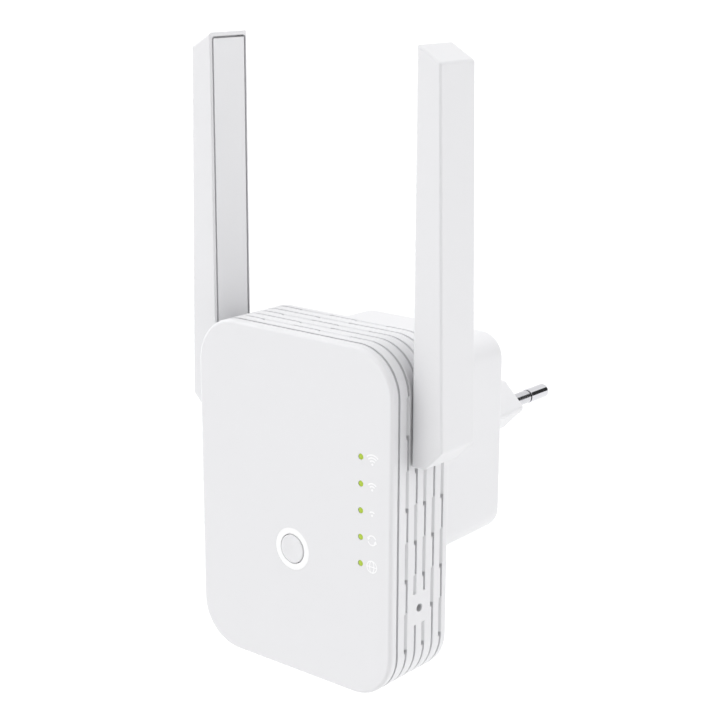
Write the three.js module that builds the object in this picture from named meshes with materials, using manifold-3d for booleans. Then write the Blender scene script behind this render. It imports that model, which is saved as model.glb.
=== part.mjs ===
// A plug-in wifi range extender: a flat rounded body with a ribbed, vented side frame, two swivelling
// flat antennas, a rear block with the mains supply, and a two-pin mains plug on a long neck.
//
// Millimetres. The exported group's origin is the centre of the plug's engagement face, which meets
// the wall socket. +X is to the right seen from the front, +Y points into the wall, +Z is up.
// Everything below is drawn in the body's own frame: Y runs back from the front face and Z runs up
// from the body's centre. The body group is moved once, at the end.

import * as THREE from 'three';
import { mergeVertices } from 'three/addons/utils/BufferGeometryUtils.js';
import Module from 'manifold-3d';

const wasm = await Module();
wasm.setup();

// ---------------------------------------------------------------- driving dimensions

// Clearances
const gap = 0.3;              // between curved, turned or cut neighbours
const past = 1;               // how far a cut runs on past the face it opens
const shadowGap = 0.5;        // outline of the antenna's inner panel

// Body
const bodyWidth = 63;
const bodyHeight = 88.6;
const bodyDepth = 22.35;      // front face to rear edge
const bodyCorner = 12;
const frontRound = 0.8;
const bandDepth = 2.06;       // plain band of the front cover, seen from the side
const seamWidth = 0.9;        // shadow gap between the front cover and the vent frame
const seamDepth = 1.0;
const coverThickness = 1.6;
const frameWall = 2.0;
const lipThickness = 1.2;
const lipReach = 2.0;         // how far the front cover's lip reaches into the frame
const ledgeWidth = 1.2;       // ledge in the frame that the rear plate seats on
const ledgeDepth = 1.65;
const rearPlate = 1.8;

// Grooves and vent slots round the side frame
const grooveCount = 5;
const groovePitch = 3.4625;
const firstGroove = 6.55;     // front face to the rear edge of the first groove
const grooveWidth = 0.7;
const grooveDepth = 0.7;
const slotWidth = 1.25;
const slotLength = 10.4;
const slotPeriod = 18.25;     // slots of neighbouring grooves are half a period apart
const slotOverrun = 0.5;      // how far a slot may reach into a corner
const padRim = 2.7;           // plain round pad past the hub under each antenna hinge

// Plug: a two-pin mains plug with 4 mm pins
const neckLength = 24.5;
const plugDrop = 0.3;         // pins below the rear block's centre
const neckHalfWidth = 15.7;   // at the engagement face
const neckHalfHeight = 6.85;
const neckFlare = 1.55;       // how much wider and higher it is at the block
const neckWall = 2.2;
const neckRound = 1.2;
const pinSpread = 9.3;        // each pin from the middle
const pinRadius = 2.0;
const pinLength = 19;
const sleeveLength = 10;
const sleeveRadius = 1.9;
const sleeveWall = 0.5;
const pinTail = 22;           // how far each pin runs back into the neck
const pinTipRound = 1.2;
const pinBossRim = 0.9;       // neck's inner face to the boss round each pin
const pinBossInset = 2;       // pin's inner end to the boss's

// Rear block
const blockWidth = 49;
const blockHeight = 53.85;
const blockDepth = 32.65;
const blockTopMargin = 6.875; // body top to block top
const blockCorner = 6.5;
const blockWall = 2.0;
const blockDraft = 0.5;
const blockRound = 1.0;

// Front face details
const ledSide = 22.05;        // from the middle to the row of lights
const ledTop = 17.5;          // above the body's centre
const ledPitch = 6.75;
const ledCount = 5;
const lightRadius = 0.75;
const pipeDepth = 1.6;        // bar that joins the lights behind the cover
const pipeHalfWidth = 1.3;
const pipeEnd = 1.5;          // bar's end past the last light
const ledHalfWidth = 0.8;
const ledHalfHeight = 0.4;
const ledHeight = 0.9;
const buttonDrop = 11.4;      // button below the body's centre
const buttonRadius = 3.7;
const buttonProud = 0.2;
const buttonTravel = 0.5;
const ringRadius = 5.5;
const ringThickness = 0.6;
const flangeRadius = 4.9;
const flangeThickness = 0.6;

// Main circuit board
const boardFront = 7.2;
const boardThickness = 1.6;
const boardMargin = 5.5;      // body side to board edge
const boardEndMargin = 3.3;   // body top and bottom to board edge
const switchSize = 6;
const switchHeight = 3.3;
const plungerRadius = 1.75;
const plungerReach = 0.8;     // how far the plunger stands out of the switch
const switchFloor = 0.8;
const resetBack = 11.35;      // front face to the reset hole
const resetHeight = 22.05;    // body bottom to the reset hole
const resetRadius = 1.03;
const resetTravel = 0.3;
const resetSwitchDepth = 4.5;
const resetPlungerRadius = 1.0;
const resetPlungerReach = 3.2;
const resetWellDepth = 3;
const resetWall = 1.6;        // switch's wall behind its plunger
const resetSwitchInset = 0.6; // board's edge to the switch's face
const resetPadBelow = 4.0;    // plain patch round the reset hole
const resetPadAbove = 4.15;

// LAN socket in the bottom edge
const jackWidth = 16;
const jackHeight = 11.5;
const jackLength = 15.5;
const portWidth = 11.8;
const portHeight = 7.4;
const portDepth = 12.5;
const latchWidth = 4.4;
const latchHeight = 1.6;
const latchOverlap = 0.5;     // how far the latch's slot runs into the port
const jackRoom = 0.25;        // room behind the socket in the frame's opening
const mouthInset = 0.2;       // body bottom to the socket's mouth

// Shield, chips and heat sink
const shieldWidth = 30;
const shieldLength = 24;
const shieldHeight = 3.0;
const shieldWall = 0.4;
const shieldRise = 14;
const processorX = -4;
const processorHalf = 6.5;
const processorHeight = 1.4;
const sinkWidth = 26;
const sinkLength = 20;
const sinkBase = 1.8;
const sinkFin = 5.6;
const finCount = 8;
const finThickness = 1.0;

// Mains supply board in the block
const supplyFront = 27.1;
const supplyMarginX = 4;      // block side to board edge
const supplyMarginZ = 4.05;
const postSize = 6;
const rootOverlap = 0.4;      // how far a post's sides run into the walls
const contactWidth = 4;
const coreDrop = 10;          // supply board's top to the transformer's centre
const coreLift = 1.5;         // transformer core off the board
const coreHalf = 8.5;
const coreHalfWidth = 6;
const coreDepth = 15;
const coreWall = 3;
const legHalf = 2;
const windingHalfWidth = 8.5;
const bulkRadius = 6.2;
const bulkLength = 17;
const bulkX = -2;
const bulkInset = 8.2;        // supply board's bottom to the capacitor's axis
const outputRadius = 3.9;
const outputLength = 12;
const outputX = -14.5;
const outputDrop = 3.5;       // transformer's centre to the capacitor's axis
const rectifierX = 14.3;
const rectifierHalf = 2.9;
const rectifierHeight = 8.5;
const rectifierHalfLength = 3.5;
const fuseX = 14.5;
const fuseInset = 16.5;       // supply board's bottom to the fuse's axis
const fuseRadius = 3.2;
const fuseHeight = 7.6;

// Low-voltage leads from the supply to the main board
const headerX = -16;
const headerZ = -7;
const headerHalfWidth = 4;
const headerHalfHeight = 3;
const headerDepth = 5;
const leadSpread = 1.25;
const leadRadius = 0.8;
const leadBow = 2.5;
const contactThickness = 0.6;

// Snap hooks along the rear cover's top edge
const hookSide = 16.5;
const hookHalfWidth = 2;
const hookThickness = 1.2;
const hookNib = 1.0;

// Screws
const screwShank = 1.1;
const screwHead = 2.4;
const screwHeadHeight = 1.0;
const caseScrewInset = 9.2;   // from the body's side
const caseScrewHeight = 8.1;  // from the body's bottom
const caseScrewLength = 10;
const bossRadius = 3.0;
const boardPostRadius = 2.4;
const boardPostInset = 5.5;   // from the board's side
const boardPostDrop = 8;      // from the board's end
const boardScrewLength = 4.5;
const supplyScrewLength = 7.5;
const supplyScrewInset = 2.6; // from the board's corners
const pilotRest = 1.5;        // how far a pilot hole runs on past its screw

// Antennas, given for the right-hand one
const antennaGap = 0.4;       // body side to the antenna's inner face
const antennaDepth = 13.16;   // along Y
const antennaBack = 13.4;     // front face to its middle, which is also the hinge axis
const hingeDrop = 22.1;       // body top to the hinge axis
const antennaFoot = 7.06;     // hinge axis to the bottom
const antennaReach = 91.65;   // hinge axis to the inner top
const mitreDrop = 3.9;        // outer top edge below the inner one
const antennaThick = 8.85;    // at the bottom
const antennaTip = 6.75;      // at the top
const footFlat = 3.74;
const antennaWall = 1.5;
const antennaEdge = 0.3;
const panelThickness = 1.5;
const panelMarginFront = 1.0;
const panelMarginRear = 1.22;
const panelFootMargin = 1.8;
const panelTopMargin = 1.7;
const panelRound = 0.35;
const panelRim = 1.2;         // width of the shell's rim that the panel seats on
const hubRadius = 4.0;
const hubBore = 2.2;
const hubFlangeRim = 1.2;     // flange past the hub, inside the antenna
const hubFlangeThickness = 1.4;
const hubTail = 3.2;          // how far the hub runs on past the frame's inner face
const washerRim = 1.2;        // washer past the hub
const washerThickness = 0.8;
const washerRelief = 0.25;    // room round the washer
const clipRim = 1.0;
const clipThickness = 0.7;
const clipGroove = 0.8;
const clipInset = 1;          // clip's groove from the hub's end
const coaxRadius = 0.65;
const coaxPlugRadius = 1.6;
const coaxPlugHeight = 2;
const coaxPlugGap = 2;        // shield's side to the plug's axis
const coaxPlugDrop = 11;      // board's top to the plug's axis
const elementWidth = 8;
const elementThickness = 0.8;
const elementLength = 72;
const elementInset = 3;       // hub's flange to the element's foot

// ---------------------------------------------------------------- places worked out from them

const halfWidth = bodyWidth / 2;
const halfHeight = bodyHeight / 2;
const blockRise = halfHeight - blockTopMargin - blockHeight / 2;
const plugRise = blockRise - plugDrop;
const hingeRise = halfHeight - hingeDrop;
const resetDrop = halfHeight - resetHeight;
const caseScrewX = halfWidth - caseScrewInset;
const caseScrewDrop = halfHeight - caseScrewHeight;
const padRadius = hubRadius + padRim;
const hubFlange = hubRadius + hubFlangeRim;
const washerRadius = hubRadius + washerRim;
const clipRadius = hubRadius + clipRim;
const blockRear = bodyDepth + blockDepth;
const plugFace = blockRear + neckLength;
const seamEnd = bandDepth + seamWidth;
const plateFront = bodyDepth - rearPlate;
const ledgeFront = plateFront - ledgeDepth;
const frameInner = halfWidth - frameWall;
const boardRear = boardFront + boardThickness;
const boardHalfWidth = halfWidth - boardMargin;
const boardHalfHeight = halfHeight - boardEndMargin;
const shieldTop = boardRear + shieldHeight;
const supplyRear = supplyFront + boardThickness;
const blockHollowHalfWidth = blockWidth / 2 - blockWall;
const blockHollowHalfHeight = blockHeight / 2 - blockWall;
const blockInnerRear = blockRear - blockWall;
const supplyHalfWidth = blockWidth / 2 - supplyMarginX;
const supplyHalfHeight = blockHeight / 2 - supplyMarginZ;
const antennaInner = halfWidth + antennaGap;
const pinFoot = plugFace - pinTail;
const wellDepth = neckWall;
const pinBossRadius = neckHalfHeight - neckWall - pinBossRim;
const sleeveFoot = plugFace - wellDepth;
const resetSwitchSide = boardHalfWidth - resetSwitchInset;
const coaxPlugX = shieldWidth / 2 + coaxPlugGap;
const coaxPlugRise = boardHalfHeight - coaxPlugDrop;

// ---------------------------------------------------------------- materials

function finish(color, roughness, metalness = 0) {
  return new THREE.MeshStandardMaterial({ color, roughness, metalness });
}

const whitePlastic = finish(0xeceded, 0.42);
const brightPlastic = finish(0xf8f8f8, 0.35);
const greyPlastic = finish(0x9a9da0, 0.5);
const darkPlastic = finish(0x2a2b2d, 0.5);
const clearGreen = finish(0xb2c83c, 0.25);
const boardGreen = finish(0x1f6b3a, 0.5);
const boardTan = finish(0xb99a5a, 0.6);
const nickel = finish(0xc9c9cc, 0.18, 1);
const steel = finish(0xa7a9ac, 0.3, 1);
const brassy = finish(0xc8a452, 0.3, 1);
const aluminium = finish(0xbfc2c5, 0.35, 1);
const tapeYellow = finish(0xd9b53a, 0.5);
const ferrite = finish(0x3b3d40, 0.7);
const capSleeve = finish(0x20242c, 0.4);
const fuseBrown = finish(0x6b3f22, 0.45);
const redLead = finish(0xb3261e, 0.45);
const blackLead = finish(0x1b1b1d, 0.45);

// ---------------------------------------------------------------- outlines

// A closed outline from corner points, counter-clockwise, with every corner rounded by an arc.
function rounded(corners, radius, steps = 4) {
  const outline = [];
  corners.forEach((corner, i) => {
    const before = corners[(i + corners.length - 1) % corners.length];
    const after = corners[(i + 1) % corners.length];
    const inward = corner.clone().sub(before).normalize();
    const outward = after.clone().sub(corner).normalize();
    const turn = Math.atan2(inward.cross(outward), inward.dot(outward));
    const reach = radius * Math.tan(turn / 2);
    const start = corner.clone().addScaledVector(inward, -reach);
    const centre = start.clone().add(new THREE.Vector2(-inward.y, inward.x).multiplyScalar(radius));
    for (let k = 0; k <= steps; k++) {
      outline.push(start.clone().rotateAround(centre, (turn * k) / steps));
    }
  });
  return outline;
}

function rectangle(halfX, halfY, cx = 0, cy = 0) {
  return [
    new THREE.Vector2(cx - halfX, cy - halfY),
    new THREE.Vector2(cx + halfX, cy - halfY),
    new THREE.Vector2(cx + halfX, cy + halfY),
    new THREE.Vector2(cx - halfX, cy + halfY),
  ];
}

// The body's outline, moved inwards by an inset.
function bodyOutline(inset) {
  return rounded(rectangle(halfWidth - inset, halfHeight - inset), bodyCorner - inset, 6);
}

function blockOutline(inset) {
  const corners = rectangle(blockWidth / 2 - inset, blockHeight / 2 - inset, 0, blockRise);
  return rounded(corners, blockCorner - inset, 5);
}

// The plug's outline: a hexagon with pointed left and right ends at 45 degrees.
function plugOutline(grow) {
  const tip = neckHalfWidth + grow;
  const rise = neckHalfHeight + grow;
  const flat = tip - rise;
  const corners = [
    new THREE.Vector2(tip, plugRise),
    new THREE.Vector2(flat, plugRise + rise),
    new THREE.Vector2(-flat, plugRise + rise),
    new THREE.Vector2(-tip, plugRise),
    new THREE.Vector2(-flat, plugRise - rise),
    new THREE.Vector2(flat, plugRise - rise),
  ];
  return rounded(corners, neckRound, 3);
}

function disc(radius, cx, cy, steps = 20) {
  const outline = [];
  for (let k = 0; k < steps; k++) {
    const angle = (2 * Math.PI * k) / steps;
    outline.push(new THREE.Vector2(cx + radius * Math.cos(angle), cy + radius * Math.sin(angle)));
  }
  return outline;
}

// ---------------------------------------------------------------- solids

// Every corner is put on a fine grid, so that faces meant to be flush lie in exactly one plane.
const grid = 4096;

function toSolid(geometry) {
  const bare = geometry.index ? geometry.toNonIndexed() : geometry.clone();
  bare.deleteAttribute('normal');
  bare.deleteAttribute('uv');
  const corners = bare.getAttribute('position').array;
  corners.forEach((value, i) => {
    corners[i] = Math.round(value * grid) / grid;
  });
  const merged = mergeVertices(bare, 1e-3);
  return new wasm.Manifold(new wasm.Mesh({
    numProp: 3,
    vertProperties: merged.attributes.position.array,
    triVerts: new Uint32Array(merged.index.array),
  }));
}

function toGeometry(solid) {
  const { vertProperties, triVerts } = solid.getMesh();
  const geometry = new THREE.BufferGeometry();
  geometry.setAttribute('position', new THREE.BufferAttribute(vertProperties, 3));
  geometry.setIndex(new THREE.BufferAttribute(triVerts, 1));
  geometry.computeVertexNormals();
  return geometry;
}

function joined(first, ...others) {
  return others.reduce((whole, other) => whole.add(other), first);
}

function cut(first, ...tools) {
  return tools.reduce((whole, tool) => whole.subtract(tool), first);
}

// Drawing planes: an outline's x and y, and the way it is drawn out, as world axes.
const onXZ = new THREE.Matrix4().makeBasis(
  new THREE.Vector3(1, 0, 0), new THREE.Vector3(0, 0, 1), new THREE.Vector3(0, -1, 0));
const onYZ = new THREE.Matrix4().makeBasis(
  new THREE.Vector3(0, 1, 0), new THREE.Vector3(0, 0, 1), new THREE.Vector3(1, 0, 0));

function extruded(outline, length, bevel) {
  return new THREE.ExtrudeGeometry(new THREE.Shape(outline), {
    depth: length,
    bevelEnabled: bevel > 0,
    bevelThickness: bevel,
    bevelSize: bevel,
    bevelOffset: -bevel,
    bevelSegments: 3,
  });
}

// A slab with an outline in X and Z, from y0 back to y1.
function slabY(outline, y0, y1) {
  return toSolid(extruded(outline, y1 - y0, 0).translate(0, 0, -y1).applyMatrix4(onXZ));
}

// A slab with an outline in Y and Z, between two places on X given in either order.
function slabX(outline, xa, xb) {
  const low = Math.min(xa, xb);
  const high = Math.max(xa, xb);
  const slab = extruded(outline, high - low, 0);
  return toSolid(slab.applyMatrix4(onYZ).translate(low, 0, 0));
}

function box(x0, x1, y0, y1, z0, z1) {
  const shape = new THREE.BoxGeometry(Math.abs(x1 - x0), y1 - y0, z1 - z0);
  return toSolid(shape.translate((x0 + x1) / 2, (y0 + y1) / 2, (z0 + z1) / 2));
}

// A solid of outlines in X and Z, one behind the other: [[y, outline], ...] from front to rear.
function loft(sections) {
  const positions = [];
  const indices = [];
  const count = sections[0][1].length;
  sections.forEach(([y, outline]) => outline.forEach((p) => positions.push(p.x, y, p.y)));
  for (let s = 0; s + 1 < sections.length; s++) {
    for (let i = 0; i < count; i++) {
      const a = s * count + i;
      const b = s * count + ((i + 1) % count);
      indices.push(a, a + count, b, b, a + count, b + count);
    }
  }
  const last = (sections.length - 1) * count;
  THREE.ShapeUtils.triangulateShape(sections[0][1], []).forEach(([a, b, c]) => {
    indices.push(a, b, c);
  });
  THREE.ShapeUtils.triangulateShape(sections.at(-1)[1], []).forEach(([a, b, c]) => {
    indices.push(last + a, last + c, last + b);
  });
  const geometry = new THREE.BufferGeometry();
  geometry.setAttribute('position', new THREE.Float32BufferAttribute(positions, 3));
  geometry.setIndex(indices);
  return toSolid(geometry);
}

// A solid turned about an axis along Y through (x, z): profile points are [radius, y], from the
// front to the rear. A profile off the axis closes on itself.
function turnedY(profile, x, z, steps = 20) {
  const points = profile.map(([radius, y]) => new THREE.Vector2(radius, y));
  return toSolid(new THREE.LatheGeometry(points, steps).translate(x, 0, z));
}

// The same about an axis along X through (y, z): profile points are [radius, distance from the
// body's middle], from the middle outwards, on the side given by side.
function turnedX(profile, side, y, z, steps = 20) {
  const points = profile.map(([radius, x]) => new THREE.Vector2(radius, x));
  const lathe = new THREE.LatheGeometry(points, steps).rotateZ((-side * Math.PI) / 2);
  return toSolid(lathe.translate(0, y, z));
}

function tube(inner, outer, from, to) {
  return [[outer, from], [outer, to], [inner, to], [inner, from], [outer, from]];
}

function rod(radius, from, to) {
  return [[0, from], [radius, from], [radius, to], [0, to]];
}

// A round wire or cable through a few points.
function wire(points, radius, steps, sides = 8) {
  const route = new THREE.CatmullRomCurve3(points.map((p) => new THREE.Vector3(...p)));
  const shape = new THREE.Shape(disc(radius, 0, 0, sides));
  return toSolid(new THREE.ExtrudeGeometry(shape, { steps, extrudePath: route }));
}

// ---------------------------------------------------------------- the scene

const extender = new THREE.Group();
const body = new THREE.Group();
body.position.set(0, -plugFace, -plugRise);
extender.add(body);

function place(name, solid, material) {
  const mesh = new THREE.Mesh(toGeometry(solid), material);
  mesh.name = name;
  body.add(mesh);
}

const sides = [['left', -1], ['right', 1]];

// ---------------------------------------------------------------- front cover

function lightHeight(index) {
  return ledTop - index * ledPitch;
}

function frontCover() {
  const lipEnd = bandDepth + lipReach;
  const lipInset = frameWall + gap;
  const pocketInset = lipInset + lipThickness;
  const rearCut = slabY(bodyOutline(-past), bandDepth, bodyDepth * 2);
  let cover = toSolid(extruded(bodyOutline(0), bodyDepth, frontRound)
    .translate(0, 0, -bodyDepth - frontRound).applyMatrix4(onXZ));
  cover = cut(cover, rearCut, slabY(bodyOutline(pocketInset), coverThickness, bandDepth + past));
  const lip = cut(
    slabY(bodyOutline(lipInset), coverThickness, lipEnd),
    slabY(bodyOutline(pocketInset), coverThickness - past, lipEnd + past));
  cover = joined(cover, lip);
  for (const [, side] of sides) {
    const x = side * caseScrewX;
    cover = joined(cover, turnedY(rod(bossRadius, coverThickness / 2, plateFront), x, -caseScrewDrop));
    cover = cut(cover, turnedY(
      rod(screwShank + gap, plateFront - caseScrewLength, plateFront + past), x, -caseScrewDrop, 12));
  }
  for (const [x, z] of boardPosts) {
    cover = joined(cover, turnedY(rod(boardPostRadius, coverThickness / 2, boardFront), x, z));
    cover = cut(cover, turnedY(
      rod(screwShank + gap, boardFront - boardScrewLength, boardFront + past), x, z, 12));
  }
  for (let i = 0; i < ledCount; i++) {
    cover = cut(cover, turnedY(
      rod(lightRadius + gap, -past, coverThickness + past), ledSide, lightHeight(i), 12));
  }
  return cut(cover,
    turnedY(rod(ringRadius + gap, -past, ringThickness), 0, -buttonDrop, 32),
    turnedY(rod(buttonRadius + gap, -past, coverThickness + past), 0, -buttonDrop, 28));
}

// The board's screws are at its upper left and lower right, in from its edges.
const boardPosts = [
  [-(boardHalfWidth - boardPostInset), boardHalfHeight - boardPostDrop],
  [boardHalfWidth - boardPostInset - 3, boardPostDrop - 0.5 - boardHalfHeight],
];

place('front_cover', frontCover(), whitePlastic);

// ---------------------------------------------------------------- vent frame

function slotCentres(index, reach) {
  const shift = index % 2 === 0 ? slotPeriod / 2 : 0;
  const centres = [];
  for (let z = shift; z + slotLength / 2 < reach + slotOverrun; z += slotPeriod) {
    centres.push(z);
    if (z > 0) centres.push(-z);
  }
  return centres;
}

function ventFrame() {
  const bottom = -halfHeight;
  let frame = slabY(bodyOutline(0), seamEnd, bodyDepth);
  frame = joined(frame, slabY(bodyOutline(seamDepth), bandDepth, seamEnd + past));
  frame = cut(frame,
    slabY(bodyOutline(frameWall), bandDepth - past, ledgeFront),
    slabY(bodyOutline(frameWall + ledgeWidth), ledgeFront - past, plateFront + past),
    slabY(bodyOutline(frameWall), plateFront, bodyDepth + past));
  const straightSide = halfHeight - bodyCorner;
  const straightTop = halfWidth - bodyCorner;
  const through = frameWall + ledgeWidth + past;
  for (let i = 0; i < grooveCount; i++) {
    const rear = firstGroove + i * groovePitch;
    const front = rear - slotWidth;
    frame = cut(frame, cut(
      slabY(bodyOutline(-past), rear - grooveWidth, rear),
      slabY(bodyOutline(grooveDepth), rear - grooveWidth - past, rear + past)));
    for (const z of slotCentres(i, straightSide)) {
      const z0 = z - slotLength / 2;
      const z1 = z + slotLength / 2;
      frame = cut(frame,
        box(halfWidth - through, halfWidth + past, front, rear, z0, z1),
        box(-halfWidth - past, through - halfWidth, front, rear, z0, z1));
    }
    for (const x of slotCentres(i, straightTop)) {
      const x0 = x - slotLength / 2;
      const x1 = x + slotLength / 2;
      frame = cut(frame,
        box(x0, x1, front, rear, halfHeight - through, halfHeight + past),
        box(x0, x1, front, rear, bottom - past, bottom + through));
    }
  }
  // A plain patch round the reset hole, in the second and third grooves.
  const patchFront = firstGroove + groovePitch - slotWidth - gap;
  const patchRear = firstGroove + 2 * groovePitch + gap;
  frame = joined(frame, box(frameInner, halfWidth, patchFront, patchRear,
    -resetDrop - resetPadBelow, -resetDrop + resetPadAbove));
  frame = cut(frame, turnedX(
    rod(resetRadius, frameInner - past, halfWidth + past), 1, resetBack, -resetDrop, 16));
  // A plain round pad and a hole for each antenna's hub.
  for (const [, side] of sides) {
    frame = joined(frame, turnedX(rod(padRadius, frameInner, halfWidth), side, antennaBack, hingeRise, 28));
    frame = cut(frame,
      turnedX(rod(hubRadius + gap, frameInner - through, halfWidth + past), side, antennaBack, hingeRise, 24),
      turnedX(rod(washerRadius + washerRelief, frameInner - through, frameInner), side, antennaBack, hingeRise, 24));
  }
  // The LAN socket's opening in the bottom edge.
  return cut(frame, box(-jackWidth / 2 - gap, jackWidth / 2 + gap,
    boardRear - gap, boardRear + jackHeight + jackRoom, bottom - past, bottom + through));
}

place('vent_frame', ventFrame(), whitePlastic);

// ---------------------------------------------------------------- rear cover with block and plug neck

function rearCover() {
  let cover = slabY(bodyOutline(frameWall + gap), plateFront, bodyDepth);
  const block = loft([
    [plateFront, blockOutline(-blockDraft)],
    [blockRear - blockRound, blockOutline(0)],
    [blockRear - 0.3 * blockRound, blockOutline(0.3 * blockRound)],
    [blockRear, blockOutline(blockRound)],
  ]);
  const neck = loft([
    [blockRear - blockWall, plugOutline(neckFlare)],
    [plugFace - 1, plugOutline(0)],
    [plugFace - 0.3, plugOutline(-0.3)],
    [plugFace, plugOutline(-1)],
  ]);
  const neckHollow = loft([
    [blockInnerRear - past, plugOutline(neckFlare - neckWall)],
    [plugFace - wellDepth, plugOutline(-neckWall)],
  ]);
  cover = joined(cover, block, neck);
  cover = cut(cover,
    slabY(blockOutline(blockWall), plateFront - past, blockInnerRear), neckHollow);
  // Posts in the block's corners, which the supply board rests on.
  const inBlock = slabY(blockOutline(blockWall - rootOverlap), supplyFront, blockRear);
  for (const [, side] of sides) {
    for (const end of [-1, 1]) {
      const x = side * (blockHollowHalfWidth + rootOverlap);
      const z = blockRise + end * (blockHollowHalfHeight + rootOverlap);
      const post = box(
        Math.min(x, x - side * postSize), Math.max(x, x - side * postSize),
        supplyRear, blockRear - blockWall / 2,
        Math.min(z, z - end * postSize), Math.max(z, z - end * postSize));
      cover = joined(cover, post.intersect(inBlock));
    }
    // A boss round each pin, inside the neck.
    cover = joined(cover, turnedY(
      rod(pinBossRadius, pinFoot + pinBossInset, plugFace - wellDepth / 2), side * pinSpread, plugRise));
    cover = cut(cover, turnedY(
      rod(pinRadius + gap, pinFoot + past, plugFace + past), side * pinSpread, plugRise));
    // Snap hooks along the top, in front of the frame's ledge.
    const x = side * hookSide;
    const top = halfHeight - frameWall - ledgeWidth - gap;
    cover = joined(cover,
      box(x - hookHalfWidth, x + hookHalfWidth, ledgeFront - gap - hookNib, plateFront + 0.5,
        top - hookThickness, top),
      box(x - hookHalfWidth, x + hookHalfWidth, ledgeFront - gap - hookNib, ledgeFront - gap,
        top - hookThickness, top + ledgeWidth - gap));
    // Wells and holes for the case screws.
    cover = cut(cover,
      turnedY(rod(screwShank + gap, plateFront - past, bodyDepth + past), side * caseScrewX, -caseScrewDrop, 12),
      turnedY(rod(screwHead + gap, bodyDepth - screwHeadHeight, bodyDepth + past),
        side * caseScrewX, -caseScrewDrop));
  }
  // Pilot holes for the supply board's screws.
  for (const [x, z] of supplyScrews) {
    cover = cut(cover, turnedY(rod(screwShank + gap, supplyRear - past, supplyRear + supplyScrewLength + pilotRest), x, z, 12));
  }
  return cover;
}

const supplyScrews = [
  [-(supplyHalfWidth - supplyScrewInset), blockRise + supplyHalfHeight - supplyScrewInset],
  [supplyHalfWidth - supplyScrewInset, blockRise - supplyHalfHeight + supplyScrewInset],
];

place('rear_cover', rearCover(), whitePlastic);

// ---------------------------------------------------------------- screws

// Pan-head screw along Y. sense is +1 when its head is at the rear, -1 when at the front.
function screw(x, z, seat, length, sense) {
  const profile = [[0, 0], [screwShank, 0], [screwShank, length], [screwHead, length],
    [screwHead, length + screwHeadHeight * 0.7], [screwHead * 0.75, length + screwHeadHeight],
    [0, length + screwHeadHeight]];
  const places = profile.map(([radius, along]) => [radius, seat + sense * (along - length)]);
  return turnedY(sense > 0 ? places : places.reverse(), x, z, 14);
}

sides.forEach(([name, side]) => {
  place(`case_screw_${name}`, screw(side * caseScrewX, -caseScrewDrop,
    bodyDepth - screwHeadHeight, caseScrewLength - pilotRest, 1), steel);
});
boardPosts.forEach(([x, z], i) => {
  place(`board_screw_${i + 1}`, screw(x, z, boardRear, boardThickness + boardScrewLength - 1, 1), steel);
});
supplyScrews.forEach(([x, z], i) => {
  place(`supply_screw_${i + 1}`, screw(x, z, supplyFront, boardThickness + supplyScrewLength, -1), steel);
});

// ---------------------------------------------------------------- pins, sleeves and contacts

function pin(x) {
  const core = sleeveRadius - sleeveWall - gap;
  const bare = plugFace + sleeveLength;
  const end = plugFace + pinLength;
  return turnedY([
    [0, pinFoot], [pinRadius, pinFoot], [pinRadius, sleeveFoot], [core, sleeveFoot],
    [core, bare], [pinRadius, bare], [pinRadius, end - pinTipRound],
    [pinRadius * 0.85, end - pinTipRound * 0.42], [pinRadius * 0.5, end - pinTipRound * 0.08], [0, end],
  ], x, plugRise, 20);
}

sides.forEach(([name, side]) => {
  const x = side * pinSpread;
  place(`pin_${name}`, pin(x), nickel);
  place(`pin_sleeve_${name}`, turnedY(
    tube(sleeveRadius - sleeveWall, sleeveRadius, sleeveFoot, plugFace + sleeveLength - gap),
    x, plugRise), greyPlastic);
  place(`pin_contact_${name}`, box(x - contactThickness / 2, x + contactThickness / 2,
    supplyRear, pinFoot - gap, plugRise - contactWidth / 2, plugRise + contactWidth / 2), brassy);
});

// ---------------------------------------------------------------- main circuit board

function mainBoard() {
  let board = slabY(rounded(rectangle(boardHalfWidth, boardHalfHeight), 7.5, 5), boardFront, boardRear);
  for (const [, side] of sides) {
    board = cut(board, turnedY(
      rod(bossRadius + gap, boardFront - past, boardRear + past), side * caseScrewX, -caseScrewDrop, 16));
  }
  for (const [x, z] of boardPosts) {
    board = cut(board, turnedY(rod(screwShank + gap, boardFront - past, boardRear + past), x, z, 12));
  }
  return board;
}

place('main_board', mainBoard(), boardGreen);

// ---------------------------------------------------------------- lights

function lightPipe() {
  let pipe = box(ledSide - pipeHalfWidth, ledSide + pipeHalfWidth, coverThickness, coverThickness + pipeDepth,
    lightHeight(ledCount - 1) - pipeEnd, lightHeight(0) + pipeEnd);
  for (let i = 0; i < ledCount; i++) {
    pipe = joined(pipe, turnedY(
      rod(lightRadius, 0, boardFront - ledHeight - gap), ledSide, lightHeight(i), 12));
  }
  return pipe;
}

place('light_pipe', lightPipe(), clearGreen);

for (let i = 0; i < ledCount; i++) {
  const z = lightHeight(i);
  place(`led_${i + 1}`, box(ledSide - ledHalfWidth, ledSide + ledHalfWidth, boardFront - ledHeight, boardFront,
    z - ledHalfHeight, z + ledHalfHeight), clearGreen);
}

// ---------------------------------------------------------------- pairing button and its switch

const switchFront = boardFront - switchHeight;
const plungerFront = switchFront - plungerReach;

place('button_ring', turnedY(
  tube(buttonRadius + gap, ringRadius, 0, ringThickness), 0, -buttonDrop, 32), brightPlastic);

place('wps_button', turnedY([
  [0, -buttonProud], [buttonRadius - 0.3, -buttonProud], [buttonRadius, 0.1],
  [buttonRadius, coverThickness + gap], [flangeRadius, coverThickness + gap],
  [flangeRadius, coverThickness + gap + flangeThickness],
  [plungerRadius, coverThickness + gap + flangeThickness],
  [plungerRadius, plungerFront - gap], [0, plungerFront - gap],
], 0, -buttonDrop, 28), whitePlastic);

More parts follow.
